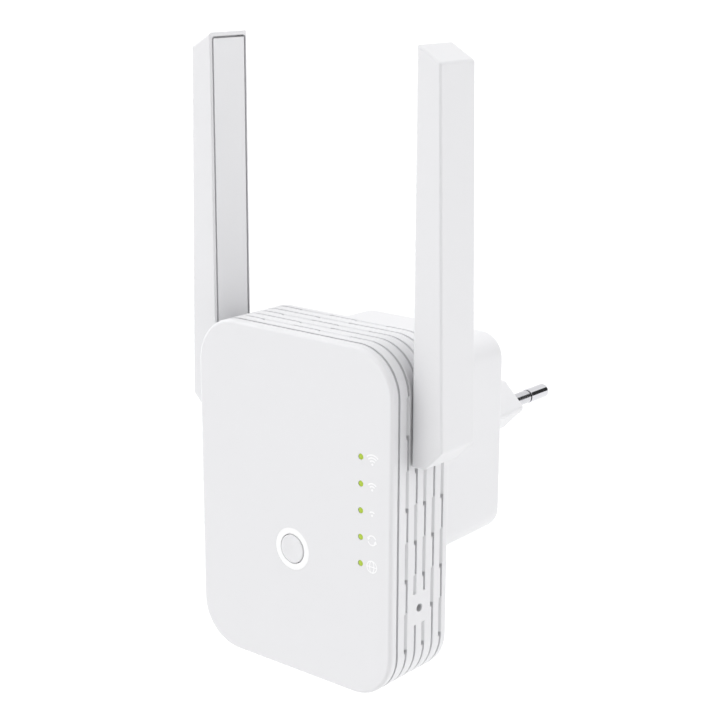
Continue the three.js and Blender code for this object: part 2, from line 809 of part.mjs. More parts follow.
place('wps_switch', cut(
  box(-switchSize / 2, switchSize / 2, switchFront, boardFront,
    -buttonDrop - switchSize / 2, -buttonDrop + switchSize / 2),
  turnedY(rod(plungerRadius + gap, switchFront - past, boardFront - switchFloor), 0, -buttonDrop)), steel);

place('wps_plunger', turnedY(
  rod(plungerRadius, plungerFront, boardFront - switchFloor - gap - buttonTravel), 0, -buttonDrop), darkPlastic);

// ---------------------------------------------------------------- reset switch

function resetSwitch() {
  const half = switchSize / 2;
  return cut(
    box(resetSwitchSide - resetSwitchDepth, resetSwitchSide, boardRear,
      resetBack + resetPlungerRadius + resetWall, -resetDrop - half, -resetDrop + half),
    turnedX(rod(resetPlungerRadius + gap, resetSwitchSide - resetWellDepth, resetSwitchSide + past),
      1, resetBack, -resetDrop, 14));
}

place('reset_switch', resetSwitch(), darkPlastic);

place('reset_plunger', turnedX(
  rod(resetPlungerRadius, resetSwitchSide - resetWellDepth + gap + resetTravel,
    resetSwitchSide + resetPlungerReach),
  1, resetBack, -resetDrop, 14), greyPlastic);

// ---------------------------------------------------------------- LAN socket

function lanJack() {
  const mouth = -halfHeight + mouthInset;
  const middle = boardRear + jackHeight / 2;
  const y0 = middle - portHeight / 2;
  const y1 = middle + portHeight / 2;
  return cut(
    box(-jackWidth / 2, jackWidth / 2, boardRear, boardRear + jackHeight, mouth, mouth + jackLength),
    box(-portWidth / 2, portWidth / 2, y0, y1, mouth - past, mouth + portDepth),
    box(-latchWidth / 2, latchWidth / 2, y1 - latchOverlap, y1 + latchHeight, mouth - past, mouth + portDepth));
}

place('lan_jack', lanJack(), darkPlastic);

// ---------------------------------------------------------------- shielded radio with heat sink

place('processor', box(processorX - processorHalf, processorX + processorHalf, boardRear,
  boardRear + processorHeight, shieldRise - processorHalf, shieldRise + processorHalf), darkPlastic);

place('rf_shield', cut(
  box(-shieldWidth / 2, shieldWidth / 2, boardRear, shieldTop,
    shieldRise - shieldLength / 2, shieldRise + shieldLength / 2),
  box(-shieldWidth / 2 + shieldWall, shieldWidth / 2 - shieldWall, boardRear - past, shieldTop - shieldWall,
    shieldRise - shieldLength / 2 + shieldWall, shieldRise + shieldLength / 2 - shieldWall)), steel);

function heatSink() {
  const z0 = shieldRise - sinkLength / 2;
  const z1 = shieldRise + sinkLength / 2;
  let sink = box(-sinkWidth / 2, sinkWidth / 2, shieldTop, shieldTop + sinkBase, z0, z1);
  const step = (sinkWidth - finThickness) / (finCount - 1);
  for (let i = 0; i < finCount; i++) {
    const x = -sinkWidth / 2 + i * step;
    sink = joined(sink, box(x, x + finThickness, shieldTop, shieldTop + sinkBase + sinkFin, z0, z1));
  }
  return sink;
}

place('heat_sink', heatSink(), aluminium);

// ---------------------------------------------------------------- mains supply

const supplyBottom = blockRise - supplyHalfHeight;
const supplyTop = blockRise + supplyHalfHeight;

function supplyBoard() {
  let board = slabY(rounded(rectangle(supplyHalfWidth, supplyHalfHeight, 0, blockRise), 1.5, 2),
    supplyFront, supplyRear);
  for (const [x, z] of supplyScrews) {
    board = cut(board, turnedY(rod(screwShank + gap, supplyFront - past, supplyRear + past), x, z, 12));
  }
  return board;
}

place('supply_board', supplyBoard(), boardTan);

const coreRise = supplyTop - coreDrop;
const coreFront = supplyRear + coreLift;
const windingRear = coreFront + coreDepth - coreWall - gap;

// The transformer's E cores meet round the winding: a block with a window right through along X.
function transformerCore() {
  const rear = coreFront + coreDepth;
  const shell = box(-coreHalfWidth, coreHalfWidth, coreFront, rear, coreRise - coreHalf, coreRise + coreHalf);
  const window = box(-coreHalfWidth - past, coreHalfWidth + past, coreFront + coreWall, rear - coreWall,
    coreRise - coreHalf + coreWall, coreRise + coreHalf - coreWall);
  const leg = box(-coreHalfWidth, coreHalfWidth, coreFront + coreWall / 2, rear - coreWall / 2,
    coreRise - legHalf, coreRise + legHalf);
  return joined(cut(shell, window), leg);
}

function transformerWinding() {
  const reach = coreHalf - coreWall - gap;
  const outer = box(-windingHalfWidth, windingHalfWidth, coreFront + coreWall + gap, windingRear,
    coreRise - reach, coreRise + reach);
  const around = box(-windingHalfWidth - past, windingHalfWidth + past, supplyRear, windingRear + past,
    coreRise - legHalf - gap, coreRise + legHalf + gap);
  const flange = coreHalfWidth + gap;
  const flanges = [[-windingHalfWidth, -flange], [flange, windingHalfWidth]].map(([x0, x1]) => box(
    x0, x1, supplyRear, windingRear, coreRise - reach, coreRise + reach));
  return joined(cut(outer, around), ...flanges);
}

place('transformer_core', transformerCore(), ferrite);
place('transformer_winding', transformerWinding(), tapeYellow);

function capacitor(radius, length) {
  return [[0, supplyRear], [radius - 0.4, supplyRear], [radius, supplyRear + 0.5],
    [radius, supplyRear + 1.8], [radius - 0.35, supplyRear + 2.2], [radius, supplyRear + 2.6],
    [radius, supplyRear + length - 0.5], [radius - 0.5, supplyRear + length],
    [0, supplyRear + length]];
}

place('bulk_capacitor', turnedY(
  capacitor(bulkRadius, bulkLength), bulkX, supplyBottom + bulkInset, 24), capSleeve);
place('output_capacitor', turnedY(
  capacitor(outputRadius, outputLength), outputX, coreRise - outputDrop, 18), capSleeve);
place('bridge_rectifier', box(rectifierX - rectifierHalf, rectifierX + rectifierHalf,
  supplyRear, supplyRear + rectifierHeight,
  coreRise - rectifierHalfLength - 0.5, coreRise + rectifierHalfLength - 0.5), darkPlastic);
place('mains_fuse', turnedY([[0, supplyRear], [fuseRadius, supplyRear],
  [fuseRadius, supplyRear + fuseHeight - 0.6], [fuseRadius - 0.6, supplyRear + fuseHeight],
  [0, supplyRear + fuseHeight]], fuseX, supplyBottom + fuseInset, 16), fuseBrown);

// ---------------------------------------------------------------- low-voltage leads between the boards

place('dc_header', box(headerX - headerHalfWidth, headerX + headerHalfWidth,
  boardRear, boardRear + headerDepth,
  headerZ - headerHalfHeight, headerZ + headerHalfHeight), brightPlastic);

function dcLead(shift) {
  const x = headerX + shift;
  const from = boardRear + headerDepth + gap;
  const to = supplyFront - gap;
  return wire([
    [x, from, headerZ], [x, from + (to - from) * 0.3, headerZ + leadBow * 0.4],
    [x, from + (to - from) * 0.7, headerZ + leadBow], [x, to, headerZ + leadBow],
  ], leadRadius, 8);
}

place('dc_lead_positive', dcLead(-leadSpread), redLead);
place('dc_lead_negative', dcLead(leadSpread), blackLead);

// ---------------------------------------------------------------- antennas

const antennaBottom = hingeRise - antennaFoot;
const antennaTop = hingeRise + antennaReach;
const antennaFront = antennaBack - antennaDepth / 2;
const antennaRear = antennaBack + antennaDepth / 2;
const panelBottom = antennaBottom + panelFootMargin;
const panelTop = antennaTop - panelTopMargin;
const panelFront = antennaFront + panelMarginFront;
const panelRear = antennaRear - panelMarginRear;

// The antenna's outline in X and Z, seen from the front, moved inwards by an inset. Its inner face
// is upright, its outer face leans in, its top is mitred and its lower outer corner cut at 45 degrees.
function antennaOutline(side, inset) {
  const bevel = antennaThick - footFlat;
  const corners = [
    [0, antennaBottom + inset],
    [footFlat - inset * 0.41, antennaBottom + inset],
    [antennaThick - inset, antennaBottom + bevel + inset * 0.41],
    [antennaTip - inset, antennaTop - mitreDrop - inset * 1.4],
    [0, antennaTop - inset],
  ];
  return corners.map(([x, z]) => new THREE.Vector2(side * (antennaInner + x), z));
}

function panelOutline(grow) {
  const halfY = (panelRear - panelFront) / 2 + grow;
  const halfZ = (panelTop - panelBottom) / 2 + grow;
  const corners = rectangle(halfY, halfZ, (panelFront + panelRear) / 2, (panelTop + panelBottom) / 2);
  return rounded(corners, Math.max(panelRound + grow, 0.2), 3);
}

function antennaShell(side) {
  const outline = antennaOutline(side, 0);
  const shape = side > 0 ? outline : outline.reverse();
  const length = antennaDepth - 2 * antennaEdge;
  const shell = toSolid(extruded(shape, length, antennaEdge)
    .translate(0, 0, -antennaRear + antennaEdge).applyMatrix4(onXZ));
  const seat = side * (antennaInner + panelThickness);
  const hollow = slabY(antennaOutline(side, antennaWall), antennaFront + antennaWall,
    antennaRear - antennaWall);
  const reach = slabX(panelOutline(-panelRim), side * (antennaInner - past), side * (antennaInner + antennaThick));
  const hubRoom = rod(hubFlange + gap, antennaInner + panelThickness - past,
    antennaInner + panelThickness + hubFlangeThickness + gap);
  return cut(shell,
    slabX(panelOutline(shadowGap), side * (antennaInner - past), seat),
    hollow.intersect(reach),
    turnedX(hubRoom, side, antennaBack, hingeRise, 24));
}

function antennaPanel(side) {
  const seat = side * (antennaInner + panelThickness);
  return cut(slabX(panelOutline(0), side * antennaInner, seat), turnedX(
    rod(hubRadius + gap, antennaInner - past, antennaInner + panelThickness + past),
    side, antennaBack, hingeRise, 24));
}

function antennaHub(side) {
  const foot = frameInner - hubTail;
  const seat = antennaInner + panelThickness;
  const neckFrom = foot + clipInset;
  return turnedX([
    [hubRadius, foot], [hubRadius, neckFrom], [hubRadius - clipGroove, neckFrom],
    [hubRadius - clipGroove, neckFrom + clipThickness + gap],
    [hubRadius, neckFrom + clipThickness + gap], [hubRadius, seat], [hubFlange, seat],
    [hubFlange, seat + hubFlangeThickness], [hubBore, seat + hubFlangeThickness],
    [hubBore, foot], [hubRadius, foot],
  ], side, antennaBack, hingeRise, 24);
}

function antennaWasher(side) {
  const from = frameInner - gap - washerThickness;
  return turnedX(tube(hubRadius + gap, washerRadius, from, from + washerThickness),
    side, antennaBack, hingeRise, 24);
}

function antennaClip(side) {
  const from = frameInner - hubTail + clipInset + gap / 2;
  return turnedX(tube(hubRadius - clipGroove + gap, clipRadius, from, from + clipThickness),
    side, antennaBack, hingeRise, 24);
}

function antennaElement(side) {
  const x0 = antennaInner + panelThickness;
  const z0 = hingeRise + hubFlange + elementInset;
  return slabX(rectangle(elementWidth / 2, elementLength / 2, antennaBack, z0 + elementLength / 2),
    side * x0, side * (x0 + elementThickness));
}

// The coax's moving half: through the hub's bore and up to the element's foot.
function antennaCoax(side) {
  const seat = antennaInner + panelThickness;
  const z = hingeRise;
  return wire([
    [side * (frameInner - hubTail + gap), antennaBack, z],
    [side * (seat - 1), antennaBack, z],
    [side * (seat + 2.2), antennaBack, z + 0.6],
    [side * (seat + 2.6), antennaBack, z + 4],
    [side * (seat + 1.6), antennaBack, z + hubFlange + 2.5],
    [side * (seat + elementThickness + gap + coaxRadius), antennaBack, z + hubFlange + 7],
  ], coaxRadius, 16, 6);
}

// The coax's fixed half: from the hub's inner end to the plug on the main board.
function boardCoax(side) {
  const from = frameInner - hubTail - gap;
  return wire([
    [side * from, antennaBack, hingeRise],
    [side * (from - 2.5), antennaBack + 0.2, hingeRise + 1],
    [side * (from - 5), antennaBack, hingeRise + 3.6],
    [side * (coaxPlugX + 0.1), antennaBack - 0.2, coaxPlugRise - 1.4],
    [side * coaxPlugX, boardRear + coaxPlugHeight + gap, coaxPlugRise],
  ], coaxRadius, 14, 6);
}

sides.forEach(([name, side]) => {
  place(`antenna_${name}_shell`, antennaShell(side), whitePlastic);
  place(`antenna_${name}_panel`, antennaPanel(side), whitePlastic);
  place(`antenna_${name}_hub`, antennaHub(side), whitePlastic);
  place(`antenna_${name}_washer`, antennaWasher(side), steel);
  place(`antenna_${name}_clip`, antennaClip(side), steel);
  place(`antenna_${name}_element`, antennaElement(side), boardGreen);
  place(`antenna_${name}_coax`, antennaCoax(side), greyPlastic);
  place(`board_coax_${name}`, boardCoax(side), greyPlastic);
  place(`coax_plug_${name}`, turnedY(
    rod(coaxPlugRadius, boardRear, boardRear + coaxPlugHeight), side * coaxPlugX, coaxPlugRise, 14), brassy);
});

export default extender;
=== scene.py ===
"""The look of a plug-in wifi range extender, built round its CAD frame.

Every mesh is drawn in millimetres in the body's own drawing frame: X to the right, Y back from
the front face, Z up from the middle of the front face. publish() turns it into metres in the CAD
frame.
"""

import math
from types import SimpleNamespace

import bmesh
import bpy
from bpy.props import FloatProperty, FloatVectorProperty, IntProperty, PointerProperty
from mathutils import Matrix, Vector


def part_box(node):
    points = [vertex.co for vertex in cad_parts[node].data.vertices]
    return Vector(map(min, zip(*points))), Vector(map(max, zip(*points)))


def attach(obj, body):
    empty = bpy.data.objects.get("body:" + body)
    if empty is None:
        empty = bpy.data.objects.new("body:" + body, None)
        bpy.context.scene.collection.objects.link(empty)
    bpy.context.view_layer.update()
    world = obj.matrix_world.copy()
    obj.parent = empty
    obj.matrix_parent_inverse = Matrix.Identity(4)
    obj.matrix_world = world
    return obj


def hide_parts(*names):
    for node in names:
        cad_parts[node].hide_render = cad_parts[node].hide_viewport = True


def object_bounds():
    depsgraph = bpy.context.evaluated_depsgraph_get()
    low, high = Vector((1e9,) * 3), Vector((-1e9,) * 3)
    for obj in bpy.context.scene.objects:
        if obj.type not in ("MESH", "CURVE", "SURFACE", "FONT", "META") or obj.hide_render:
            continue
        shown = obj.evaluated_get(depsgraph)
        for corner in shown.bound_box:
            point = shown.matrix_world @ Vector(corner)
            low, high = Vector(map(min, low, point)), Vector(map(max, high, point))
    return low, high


bl_info = {
    "name": "Wifi range extender",
    "version": (1, 0, 0),
    "blender": (4, 5, 0),
    "location": "3D View > Sidebar > Extender",
    "description": "Builds the visible pieces and finishes of a plug-in wifi range extender",
    "category": "Object",
}

MM = 0.001
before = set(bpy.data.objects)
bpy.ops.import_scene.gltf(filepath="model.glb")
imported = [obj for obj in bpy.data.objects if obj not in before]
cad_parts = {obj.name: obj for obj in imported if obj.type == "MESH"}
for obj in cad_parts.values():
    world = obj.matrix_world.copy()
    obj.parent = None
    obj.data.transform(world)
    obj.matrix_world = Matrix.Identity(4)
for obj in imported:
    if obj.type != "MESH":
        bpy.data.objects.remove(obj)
CAD_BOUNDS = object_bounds()

COVER_LOW, COVER_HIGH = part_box("front_cover")
ORIGIN = Vector((0.0, COVER_LOW.y, (COVER_LOW.z + COVER_HIGH.z) / 2))


def span(node):
    """A CAD node's lowest and highest corners, in millimetres in the drawing frame."""
    return tuple((corner - ORIGIN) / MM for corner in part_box(node))


def middle(node):
    low, high = span(node)
    return (low + high) / 2


BODY_HIGH = span("front_cover")[1]
FRAME_LOW, FRAME_HIGH = span("vent_frame")
PLUG_FACE = span("rear_cover")[1].y
LIGHTS = [middle(f"led_{i}") for i in range(1, 6)]
HINGE = middle("antenna_right_hub")
PIN_LOW, PIN_HIGH = span("pin_right")
PIN_X, PLUG_RISE = middle("pin_right").x, middle("pin_right").z
BLOCK = SimpleNamespace(half_width=24.5, half_height=26.925, rise=10.5, rear=55.0)
SIDES = (("left", -1), ("right", 1))


def places(*nodes):
    return [(middle(node).x, middle(node).z) for node in nodes]


CASE_SCREWS = places("case_screw_left", "case_screw_right")
BOARD_SCREWS = places("board_screw_1", "board_screw_2")
SUPPLY_SCREWS = places("supply_screw_1", "supply_screw_2")

CLEARANCE = 0.3        # between a wall and what seats inside it
HAIR = 0.02            # between pieces that touch in the CAD
PAST = 1.0             # how far a cutting tool reaches past what it cuts
PILOT_RADIUS = 1.4     # holes that the screws pass through or bite into
BUTTON_RADIUS = 3.7
HUB_HOLE_RADIUS = 4.15


# ---------------------------------------------------------------- sizes and colours


def length(name, description, millimetres):
    return FloatProperty(
        name=name, description=description, default=millimetres * MM,
        min=0.0, unit="LENGTH", precision=5)


def shade(name, description, code):
    """A colour property from a six-digit code."""
    channels = [int(code[i:i + 2], 16) / 255 for i in (0, 2, 4)]
    linear = [c / 12.92 if c <= 0.04045 else ((c + 0.055) / 1.055) ** 2.4 for c in channels]
    return FloatVectorProperty(
        name=name, description=description, default=(*linear, 1.0),
        size=4, min=0.0, max=1.0, subtype="COLOR")


class BodySizes(bpy.types.PropertyGroup):
    """The front cover and the rear cover."""

    corner: length("Corner", "Radius of the body's four corners", 12.0)
    front_round: length("Front round", "Rounding of the front face's edge", 0.95)
    band: length("Front band", "Plain band between the front face and the seam", FRAME_LOW.y + 0.2)
    cover: length("Cover", "Thickness of the front cover", 1.6)
    wall: length("Wall", "Wall of the vent frame", 2.0)
    lip: length("Lip", "Thickness of the front cover's lip inside the frame", 1.2)
    plate: length("Rear plate", "Thickness of the rear plate", 1.8)
    block_corner: length("Block corner", "Radius of the rear block's corners", 6.5)
    block_round: length("Block round", "Rounding of the rear block's rear edge", 1.0)
    block_wall: length("Block wall", "Wall of the rear block", 2.0)
    block_draft: length("Block draft", "How much wider the block is at its root", 0.5)
    root_fillet: length("Root fillet", "Fillet at the root of the block and the neck", 0.7)


class VentSizes(bpy.types.PropertyGroup):
    """The grooves and slots round the side frame."""

    groove_count: IntProperty(
        name="Grooves", description="Number of grooves round the side frame", default=5, min=1)
    first_groove: length("First groove", "Front face to the first groove's rear edge", 6.55)
    pitch: length("Pitch", "From one groove to the next", 3.4625)
    groove_width: length("Groove width", "Width of each groove", 0.7)
    groove_depth: length("Groove depth", "Depth of each groove", 0.85)
    lip_round: length("Groove lip", "Rounding of each groove's lips", 0.12)
    slot_width: length("Slot width", "Width of each vent slot", 1.25)
    slot_length: length("Slot length", "Length of each vent slot", 10.4)
    slot_step: length("Slot step", "Half of the distance between slots in one groove", 9.125)
    slot_slit: length("Slot slit", "Opening left beside each slot's louvre", 0.35)
    slot_open: length("Slot open end", "Length of each slot's end that has no louvre", 0.9)
    slot_slope: FloatProperty(
        name="Slot slope", description="Fall of each slot's louvre for its width", default=1.12,
        min=0.0)
    seam_width: length("Seam width", "Gap between the front cover and the frame", 0.7)
    seam_depth: length("Seam depth", "Depth of that gap", 0.85)


class FaceSizes(bpy.types.PropertyGroup):
    """The lights, symbols and button on the front face."""

    light_radius: length("Light radius", "Radius of each light point", 0.75)
    symbol_side: length("Symbol place", "From the row of lights to the row of symbols", 3.55)
    stroke: length("Stroke", "Width of the symbols' lines", 0.34)
    button_gap: length("Button gap", "Gap round the button", 0.17)
    button_dish: length("Button dish", "How far the button's face is hollowed", 0.12)


class PlugSizes(bpy.types.PropertyGroup):
    """The plug's neck and pins."""

    half_width: length("Neck half width", "Half of the plug face's width", 15.7)
    half_height: length("Neck half height", "Half of the plug face's height", 6.85)
    flare: length("Neck flare", "How much the neck widens to its root", 1.55)
    wall: length("Neck wall", "Wall of the neck", 2.2)
    edge_round: length("Edge round", "Rounding of the neck's edges", 1.2)
    face_round: length("Face round", "Rounding of the plug face's rim", 0.9)
    sleeve_length: length("Sleeve length", "Sleeved length of each pin", 10.0)
    sleeve_radius: length("Sleeve radius", "Radius of the sleeve", 1.86)
    tip_round: length("Tip round", "Rounding of each pin's tip", 1.25)


class AntennaSizes(bpy.types.PropertyGroup):
    """The two flat swivelling antennas."""

    tip: length("Tip", "Thickness at the top", 6.75)
    foot_flat: length("Foot flat", "Flat part of the foot", 3.74)
    mitre: length("Mitre", "Outer top edge below the inner one", 3.9)
    edge: length("Edge", "Rounding of the antenna's edges", 0.6)
    panel: length("Panel", "Thickness of the inner panel", 1.5)
    panel_gap: length("Panel gap", "Gap round the inner panel", 0.5)
    panel_round: length("Panel corner", "Radius of the inner panel's corners", 0.3)
    wall: length("Antenna wall", "Wall of the antenna's shell", 1.5)


class Finishes(bpy.types.PropertyGroup):
    """Colours of the finishes."""

    white: shade("White plastic", "The body's and antennas' plastic", "d7d7d9")
    bright: shade("Bright plastic", "The button's ring and the symbols", "ebebec")
    grey: shade("Grey plastic", "Cables and the reset plunger", "9a9da0")
    dark: shade("Dark plastic", "Sockets and chips", "2a2b2d")
    light: shade("Light", "The lit status lights", "9fb82a")
    board: shade("Main board", "The main board's solder mask", "1f6b3a")
    board_tan: shade("Supply board", "The supply board's laminate", "b99a5a")
    nickel: shade("Nickel", "The plug's pins", "d4d4d8")
    steel: shade("Steel", "Screws, shield and clips", "a7a9ac")
    brass: shade("Brass", "Contacts", "c8a452")
    aluminium: shade("Aluminium", "The heat sink", "bfc2c5")
    ferrite: shade("Ferrite", "The transformer's core", "3b3d40")
    tape: shade("Tape", "The transformer's winding tape", "d9b53a")
    sleeve: shade("Capacitor sleeve", "The capacitors' shrunk sleeves", "20242c")
    fuse: shade("Fuse", "The mains fuse", "6b3f22")
    red: shade("Red lead", "The positive lead", "b3261e")
    black: shade("Black lead", "The negative lead", "1b1b1d")


GROUPS = {
    "extender_body": BodySizes,
    "extender_vents": VentSizes,
    "extender_face": FaceSizes,
    "extender_plug": PlugSizes,
    "extender_antennas": AntennaSizes,
    "extender_finishes": Finishes,
}


def sizes(scene, group):
    """A group's lengths in millimetres, and its counts as they are."""
    owner = getattr(scene, f"extender_{group}")
    values = {}
    for name, prop in owner.bl_rna.properties.items():
        if prop.type == "FLOAT":
            values[name] = getattr(owner, name) / (MM if prop.unit == "LENGTH" else 1.0)
        elif prop.type == "INT":
            values[name] = getattr(owner, name)
    return SimpleNamespace(**values)


# ---------------------------------------------------------------- finishes


class Shader:
    """Short calls for one material's nodes."""

    def __init__(self, name):
        self.material = bpy.data.materials.new(name)
        self.material.use_nodes = True
        self.nodes = self.material.node_tree.nodes
        self.links = self.material.node_tree.links
        self.surface = self.nodes["Principled BSDF"]
        self.place = self.nodes.new("ShaderNodeTexCoord").outputs["Object"]

    def put(self, node, socket, value):
        if isinstance(value, bpy.types.NodeSocket):
            self.links.new(value, node.inputs[socket])
        else:
            node.inputs[socket].default_value = value

    def node(self, kind, inputs, **settings):
        made = self.nodes.new(kind)
        for name, value in settings.items():
            setattr(made, name, value)
        for socket, value in inputs.items():
            self.put(made, socket, value)
        return made

    def noise(self, scale, detail=3.0, roughness=0.5):
        made = self.node("ShaderNodeTexNoise", {
            "Vector": self.place, "Scale": scale, "Detail": detail, "Roughness": roughness})
        return made.outputs["Fac"]

    def spread(self, value, low, high):
        """A zero-to-one pattern spread over a range."""
        made = self.node("ShaderNodeMapRange", {
            "Value": value, "From Min": 0.25, "From Max": 0.75, "To Min": low, "To Max": high})
        return made.outputs["Result"]

    def mix(self, factor, one, other):
        made = self.nodes.new("ShaderNodeMix")
        made.data_type = "RGBA"
        self.put(made, 0, factor)
        self.put(made, 6, one)
        self.put(made, 7, other)
        return made.outputs[2]

    def bump(self, height, strength, distance):
        made = self.node("ShaderNodeBump", {
            "Height": height, "Strength": strength, "Distance": distance})
        self.put(self.surface, "Normal", made.outputs["Normal"])


def tinted(colour, factor):
    return (*(min(1.0, c * factor) for c in colour[:3]), 1.0)


def moulded(name, colour, roughness, grain=2600.0, depth=0.000006, variation=0.985):
    """Moulded plastic: a fine spark-eroded grain and a slow drift of tone and gloss."""
    s = Shader(name)
    drift = s.noise(22.0, 2.0)
    fine = s.noise(grain, 3.0, 0.6)
    s.put(s.surface, "Base Color", s.mix(drift, tinted(colour, variation), tuple(colour)))
    s.put(s.surface, "Roughness", s.spread(fine, roughness - 0.05, roughness + 0.05))
    s.surface.inputs["IOR"].default_value = 1.49
    s.bump(fine, 0.35, depth)
    return s.material


def metal(name, colour, roughness, grain=1800.0, depth=0.000002):
    """Plated or rolled metal with faint marks."""
    s = Shader(name)
    fine = s.noise(grain, 4.0, 0.65)
    s.put(s.surface, "Base Color", s.mix(s.noise(90.0), tinted(colour, 0.94), tuple(colour)))
    s.surface.inputs["Metallic"].default_value = 1.0
    s.put(s.surface, "Roughness", s.spread(fine, roughness * 0.8, roughness * 1.25))
    s.bump(fine, 0.2, depth)
    return s.material


def lit(name, colour):
    """Clear green plastic, lit from behind: it glows faintly and evenly, with a fine speckle in
    its tone.
    """
    s = Shader(name)
    s.put(s.surface, "Base Color", s.mix(s.noise(1400.0), tinted(colour, 0.9), tuple(colour)))
    s.put(s.surface, "Emission Color",
          s.mix(s.noise(900.0), tinted(colour, 0.92), tuple(colour)))
    s.surface.inputs["Emission Strength"].default_value = 0.12
    s.surface.inputs["Roughness"].default_value = 0.3
    return s.material


def printed_board(name, colour, copper):
    """Solder mask over copper tracks: stepped lines that turn corners, and small pads."""
    s = Shader(name)
    tracks = s.node("ShaderNodeTexBrick", {
        "Vector": s.place, "Scale": 260.0, "Mortar Size": 0.06, "Mortar Smooth": 0.1,
        "Brick Width": 1.7, "Row Height": 0.42})
    pads = s.node("ShaderNodeTexVoronoi", {"Vector": s.place, "Scale": 420.0, "Randomness": 0.7})
    dot = s.node("ShaderNodeMapRange", {
        "Value": pads.outputs["Distance"], "From Min": 0.16, "From Max": 0.2,
        "To Min": 1.0, "To Max": 0.0})
    mask = s.mix(tracks.outputs["Fac"], tuple(colour), tinted(colour, 1.45))
    s.put(s.surface, "Base Color", s.mix(dot.outputs["Result"], mask, tuple(copper)))
    s.put(s.surface, "Roughness", s.spread(s.noise(1500.0), 0.32, 0.48))
    s.bump(tracks.outputs["Fac"], 0.4, 0.00003)
    return s.material


def wound(name, colour):
    """Tape wound round in even turns."""
    s = Shader(name)
    wave = s.node("ShaderNodeTexWave", {
        "Vector": s.place, "Scale": 190.0, "Distortion": 0.6, "Detail": 1.0},
        bands_direction="Z")
    s.put(s.surface, "Base Color",
          s.mix(wave.outputs["Fac"], tinted(colour, 0.82), tuple(colour)))
    s.put(s.surface, "Roughness", s.spread(s.noise(1200.0), 0.35, 0.5))
    s.bump(wave.outputs["Fac"], 0.4, 0.00004)
    return s.material


def sintered(name, colour):
    """Ferrite: dull, with a coarse grain and pale flecks."""
    s = Shader(name)
    grain = s.noise(3000.0, 5.0, 0.7)
    s.put(s.surface, "Base Color", s.mix(grain, tinted(colour, 0.7), tinted(colour, 1.3)))
    s.put(s.surface, "Roughness", s.spread(grain, 0.6, 0.85))
    s.bump(grain, 0.5, 0.00002)
    return s.material


FINISH = {}


def make_finishes(scene):
    c = scene.extender_finishes
    FINISH.update({
        "white_plastic": moulded("satin_white", c.white, 0.44),
        "bright_plastic": moulded("bright_white", c.bright, 0.34),
        "grey_plastic": moulded("grey_plastic", c.grey, 0.5, 1800.0),
        "dark_plastic": moulded("dark_plastic", c.dark, 0.48, 1800.0),
        "light_green": lit("lit_green", c.light),
        "board_green": printed_board("main_board_mask", c.board, tinted(c.brass, 0.9)),
        "board_tan": printed_board("supply_board_laminate", c.board_tan, tinted(c.brass, 0.7)),
        "nickel": metal("polished_nickel", c.nickel, 0.06),
        "sleeve_grey": metal("pin_sleeve", tinted(c.nickel, 0.9), 0.2),
        "steel": metal("plated_steel", c.steel, 0.3),
        "brass": metal("brass", c.brass, 0.28),
        "aluminium": metal("aluminium", c.aluminium, 0.38, 900.0, 0.000006),
        "ferrite": sintered("ferrite", c.ferrite),
        "yellow_tape": wound("winding_tape", c.tape),
        "capacitor_sleeve": moulded("capacitor_sleeve", c.sleeve, 0.36, 1200.0),
        "fuse_brown": moulded("fuse_brown", c.fuse, 0.4, 1500.0),
        "red_lead": moulded("red_lead", c.red, 0.4, 1500.0),
        "black_lead": moulded("black_lead", c.black, 0.4, 1500.0),
    })


# ---------------------------------------------------------------- outlines


def rounded_polygon(corners, radius, steps=6):
    """A closed outline with every corner rounded, in the order of its corners."""
    points = []
    count = len(corners)
    for i, corner in enumerate(corners):
        here = Vector(corner)
        inward = (here - Vector(corners[i - 1])).normalized()
        outward = (Vector(corners[(i + 1) % count]) - here).normalized()
        turn = math.atan2(inward.x * outward.y - inward.y * outward.x, inward.dot(outward))
        side = 1.0 if turn > 0 else -1.0
        start = here - inward * radius * math.tan(abs(turn) / 2)
        centre = start + side * radius * Vector((-inward.y, inward.x))
        for k in range(steps + 1):
            arm = start - centre
            arm.rotate(Matrix.Rotation(turn * k / steps, 2))
            points.append(tuple(centre + arm))
    return points


def rectangle(half_u, half_v, u=0.0, v=0.0):
    return [(u - half_u, v - half_v), (u + half_u, v - half_v),
            (u + half_u, v + half_v), (u - half_u, v + half_v)]


def body_outline(body, inset, steps=14):
    return rounded_polygon(
        rectangle(BODY_HIGH.x - inset, BODY_HIGH.z - inset), body.corner - inset, steps)


def block_outline(body, inset, steps=12):
    """The rear block's outline. Its centre and size are those of the CAD's rear cover."""
    return rounded_polygon(
        rectangle(BLOCK.half_width - inset, BLOCK.half_height - inset, 0.0, BLOCK.rise),
        body.block_corner - inset, steps)


def neck_outline(plug, grow, steps=5):
    """The plug's outline: a hexagon with pointed left and right ends."""
    tip = plug.half_width + grow
    rise = plug.half_height + grow
    flat = tip - rise
    z = PLUG_RISE
    return rounded_polygon(
        [(tip, z), (flat, z + rise), (-flat, z + rise), (-tip, z), (-flat, z - rise),
         (flat, z - rise)],
        plug.edge_round, steps)


def quarter(steps):
    """Pairs from (1, 0) to (0, 1) round a quarter circle, for fillets."""
    return [(math.cos(math.pi / 2 * k / steps), math.sin(math.pi / 2 * k / steps))
            for k in range(steps + 1)]


# ---------------------------------------------------------------- meshes


def new_object(name, mesh):
    made = bpy.data.objects.new(name, mesh)
    bpy.context.scene.collection.objects.link(made)
    return made


def from_bmesh(name, bm):
    bmesh.ops.recalc_face_normals(bm, faces=bm.faces)
    mesh = bpy.data.meshes.new(name)
    bm.to_mesh(mesh)
    bm.free()
    return new_object(name, mesh)


